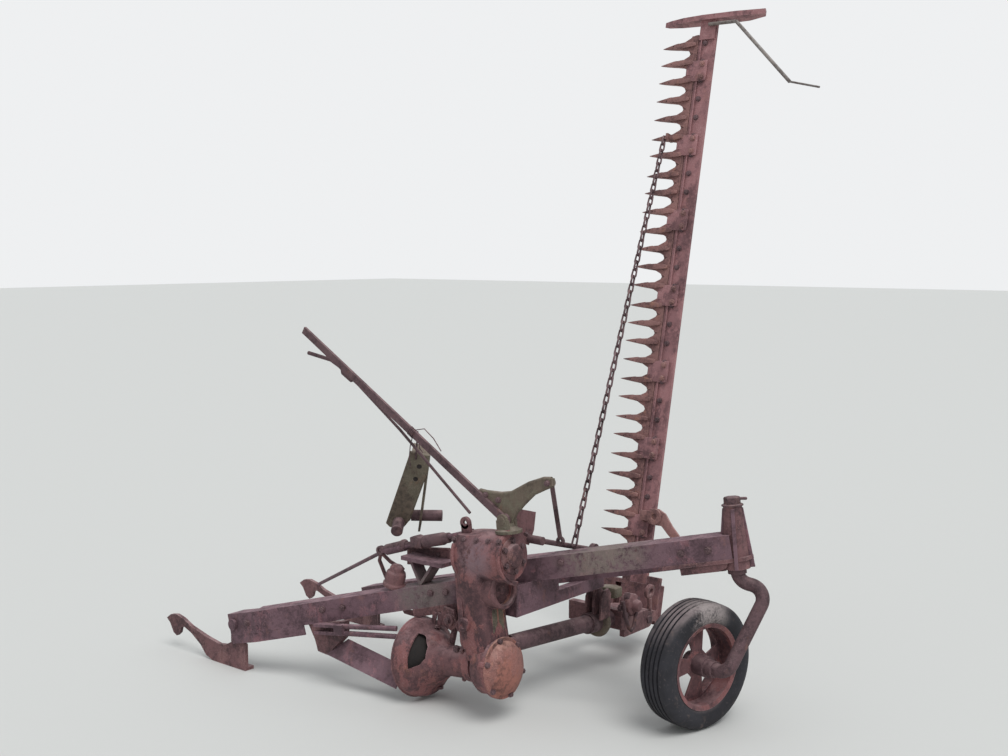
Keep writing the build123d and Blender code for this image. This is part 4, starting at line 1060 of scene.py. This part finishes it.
hingeDetail = {
    "rib": [(-756, 214), (-762, 292), (-780, 318), (-806, 322), (-822, 300), (-814, 214)],
    "crescent": [(31, -16), (54, -10), (58, 0), (54, 10), (31, 16)],
    "casting": [(0, 0, 22, -18, 18), (30, 0, 26, -22, 20), (70, 0, 24, -20, 16), (92, 0, 14, -12, 10)],
    "knob": [(0, 34), (16, 34), (22, 26), (24, 12), (38, 8), (42, 0), (42, -30), (0, -30)],
    "strut": [(0, 0, 10, -12, 12), (60, 0, 9, -11, 11), (120, 0, 8, -9, 9)],
    "loop": [(-1078, -856, 268), (-1082, -868, 206), (-1084, -888, 162), (-1084, -902, 150),
             (-1084, -918, 158), (-1080, -944, 214), (-1074, -962, 262)],
    "shank": [(-1046, -1082, 226), (-1044, -1086, 190), (-1040, -1090, 160)],
    "ribPlaces": (-1046, -1014, -982), "crescentAt": (-1000, -806, 193), "castingAt": (-1050, -872, 292),
    "knobAt": (-1068, -934, 236), "strutAt": (-1062, -905, 276), "eyeAt": (-1046, -1082, 252),
    "bolts": [(-1066, -934, 236), (-1060, -860, 240), (-1060, -895, 206)],
}


def makeHinge(detail):
    sideways = Matrix(((0, 0, 1, 0), (1, 0, 0, 0), (0, 1, 0, 0), (0, 0, 0, 1)))
    ribs = []
    for x in detail["ribPlaces"]:
        rib = drawPlate(detail["rib"], -5, 5, 2.0)
        rib.data.transform(moved(x, 0, 0) @ sideways)
        ribs.append(rib)
    crescent = turnPart(detail["crescent"], 24, 230, 1.0)
    crescent.data.transform(moved(*detail["crescentAt"], (94, "X"), (-25, "Z")))
    casting = drawOut(detail["casting"], 4.0)
    casting.data.transform(moved(*detail["castingAt"]))
    knob = turnProfile(detail["knob"], 28, 1.5)
    knob.data.transform(moved(*detail["knobAt"]) @ backAlongShaft)
    strut = drawOut(detail["strut"], 2.0)
    strut.data.transform(moved(*detail["strutAt"], (-68, "Z"), (24, "Y")))
    settle(joined([*ribs, knob]), "tubeRibs", shopSpace, "frame", "castingRust")
    settle(joined([crescent, casting]), "tubeCrescent", shopSpace, "frame", "oldGreen")
    loop = drawRod(detail["loop"], 7, 10)
    nuts = [moved(*place, (-90, "Y")) for place in detail["bolts"]]
    settle(joined([loop, strut]), "loopRod", shopSpace, "frame", "darkSteel")
    boltSet("hingeBolts", nuts, shopSpace, "frame", "darkSteel", 1.0)
    eye = ringBoss(27, 13, -8, 8, 3.0)
    eye.data.transform(moved(*detail["eyeAt"], (80, "Y")))
    shank = drawRod(detail["shank"], 9, 10)
    settle(joined([eye, shank]), "eyeBolt", shopSpace, "cutter_bar", "castingRust")


makeHinge(hingeDetail)
print("hinge done")

# eye and curved arm that stand up behind the bar

armDetail = {
    "arm": [(8, -410), (-30, -414), (-62, -400), (-100, -356), (-134, -326), (-134, -304), (-112, -300),
            (-84, -322), (-52, -350), (-20, -350), (12, -356)],
    "foot": [(6, -360), (50, -362), (52, -400), (6, -402)],
    "eyeAt": (-18, -381, 0), "low": 20, "high": 31,
}


def makeTiltArm(detail):
    arm = drawPlate(detail["arm"], detail["low"], detail["high"], 2.5)
    foot = drawPlate(detail["foot"], 0.4, detail["high"], 2.5)
    eye = ringBoss(31, 11.2, 16, 37, 2.5)
    eye.data.transform(moved(*detail["eyeAt"]))
    pattern = joined([arm, foot, eye])
    settle(pattern, "tiltEyeArm", barSpace, "cutter_bar", "guardRust", ["tilt_arm"])


makeTiltArm(armDetail)

# light, floor and camera

studio = {
    "sky": 0.68, "skyTone": tone(0.93, 0.97, 1.0), "backdrop": tone(0.86, 0.87, 0.88),
    "sun": 1.65, "sunWidth": 35, "sunFrom": (-0.75, 0.35, 1.35), "floor": tone(0.62, 0.62, 0.60),
    "lens": 44.64, "eye": (-2.927, 3.673, 1.535), "right": (-0.77162, -0.63608, 0.0),
    "up": (0.0648, -0.0786, 0.9948), "back": (-0.63277, 0.76760, 0.10192),
}


def makeStudio(settings):
    scene = bpy.context.scene
    scene.view_settings.view_transform = "Standard"
    world = bpy.data.worlds.new("studioSky")
    world.use_nodes = True
    scene.world = world
    air = world.node_tree.nodes
    sky = air["Background"]
    sky.inputs["Color"].default_value = settings["skyTone"]
    sky.inputs["Strength"].default_value = settings["sky"]
    pale = air.new("ShaderNodeBackground")
    pale.inputs["Color"].default_value = settings["backdrop"]
    pale.inputs["Strength"].default_value = 1.0
    seen = air.new("ShaderNodeLightPath")
    choice = air.new("ShaderNodeMixShader")
    joins = world.node_tree.links
    joins.new(seen.outputs["Is Camera Ray"], choice.inputs["Fac"])
    joins.new(sky.outputs["Background"], choice.inputs[1])
    joins.new(pale.outputs["Background"], choice.inputs[2])
    joins.new(choice.outputs["Shader"], air["World Output"].inputs["Surface"])
    lamp = bpy.data.lights.new("softSun", "SUN")
    lamp.energy = settings["sun"]
    lamp.angle = math.radians(settings["sunWidth"])
    holder = bpy.data.objects.new("softSun", lamp)
    holder.rotation_euler = Vector(settings["sunFrom"]).to_track_quat("Z", "Y").to_euler()
    scene.collection.objects.link(holder)
    clearChoice()
    bpy.ops.mesh.primitive_grid_add(x_subdivisions=8, y_subdivisions=8, size=90, location=(0, 0, 0))
    floor = bpy.context.object
    floor.name = "paleFloor"
    ground = Finish("paleFloor")
    ground.feed(ground.shader.inputs["Base Color"], settings["floor"])
    ground.feed(ground.shader.inputs["Roughness"], 0.9)
    floor.data.materials.append(ground.material)
    eye = bpy.data.cameras.new("photoCamera")
    eye.lens = settings["lens"]
    eye.sensor_width = 36.0
    viewer = bpy.data.objects.new("photoCamera", eye)
    turned = Matrix((settings["right"], settings["up"], settings["back"])).transposed().to_4x4()
    viewer.matrix_world = moved(*settings["eye"]) @ turned
    scene.collection.objects.link(viewer)
    scene.camera = viewer


makeStudio(studio)
print("studio done")
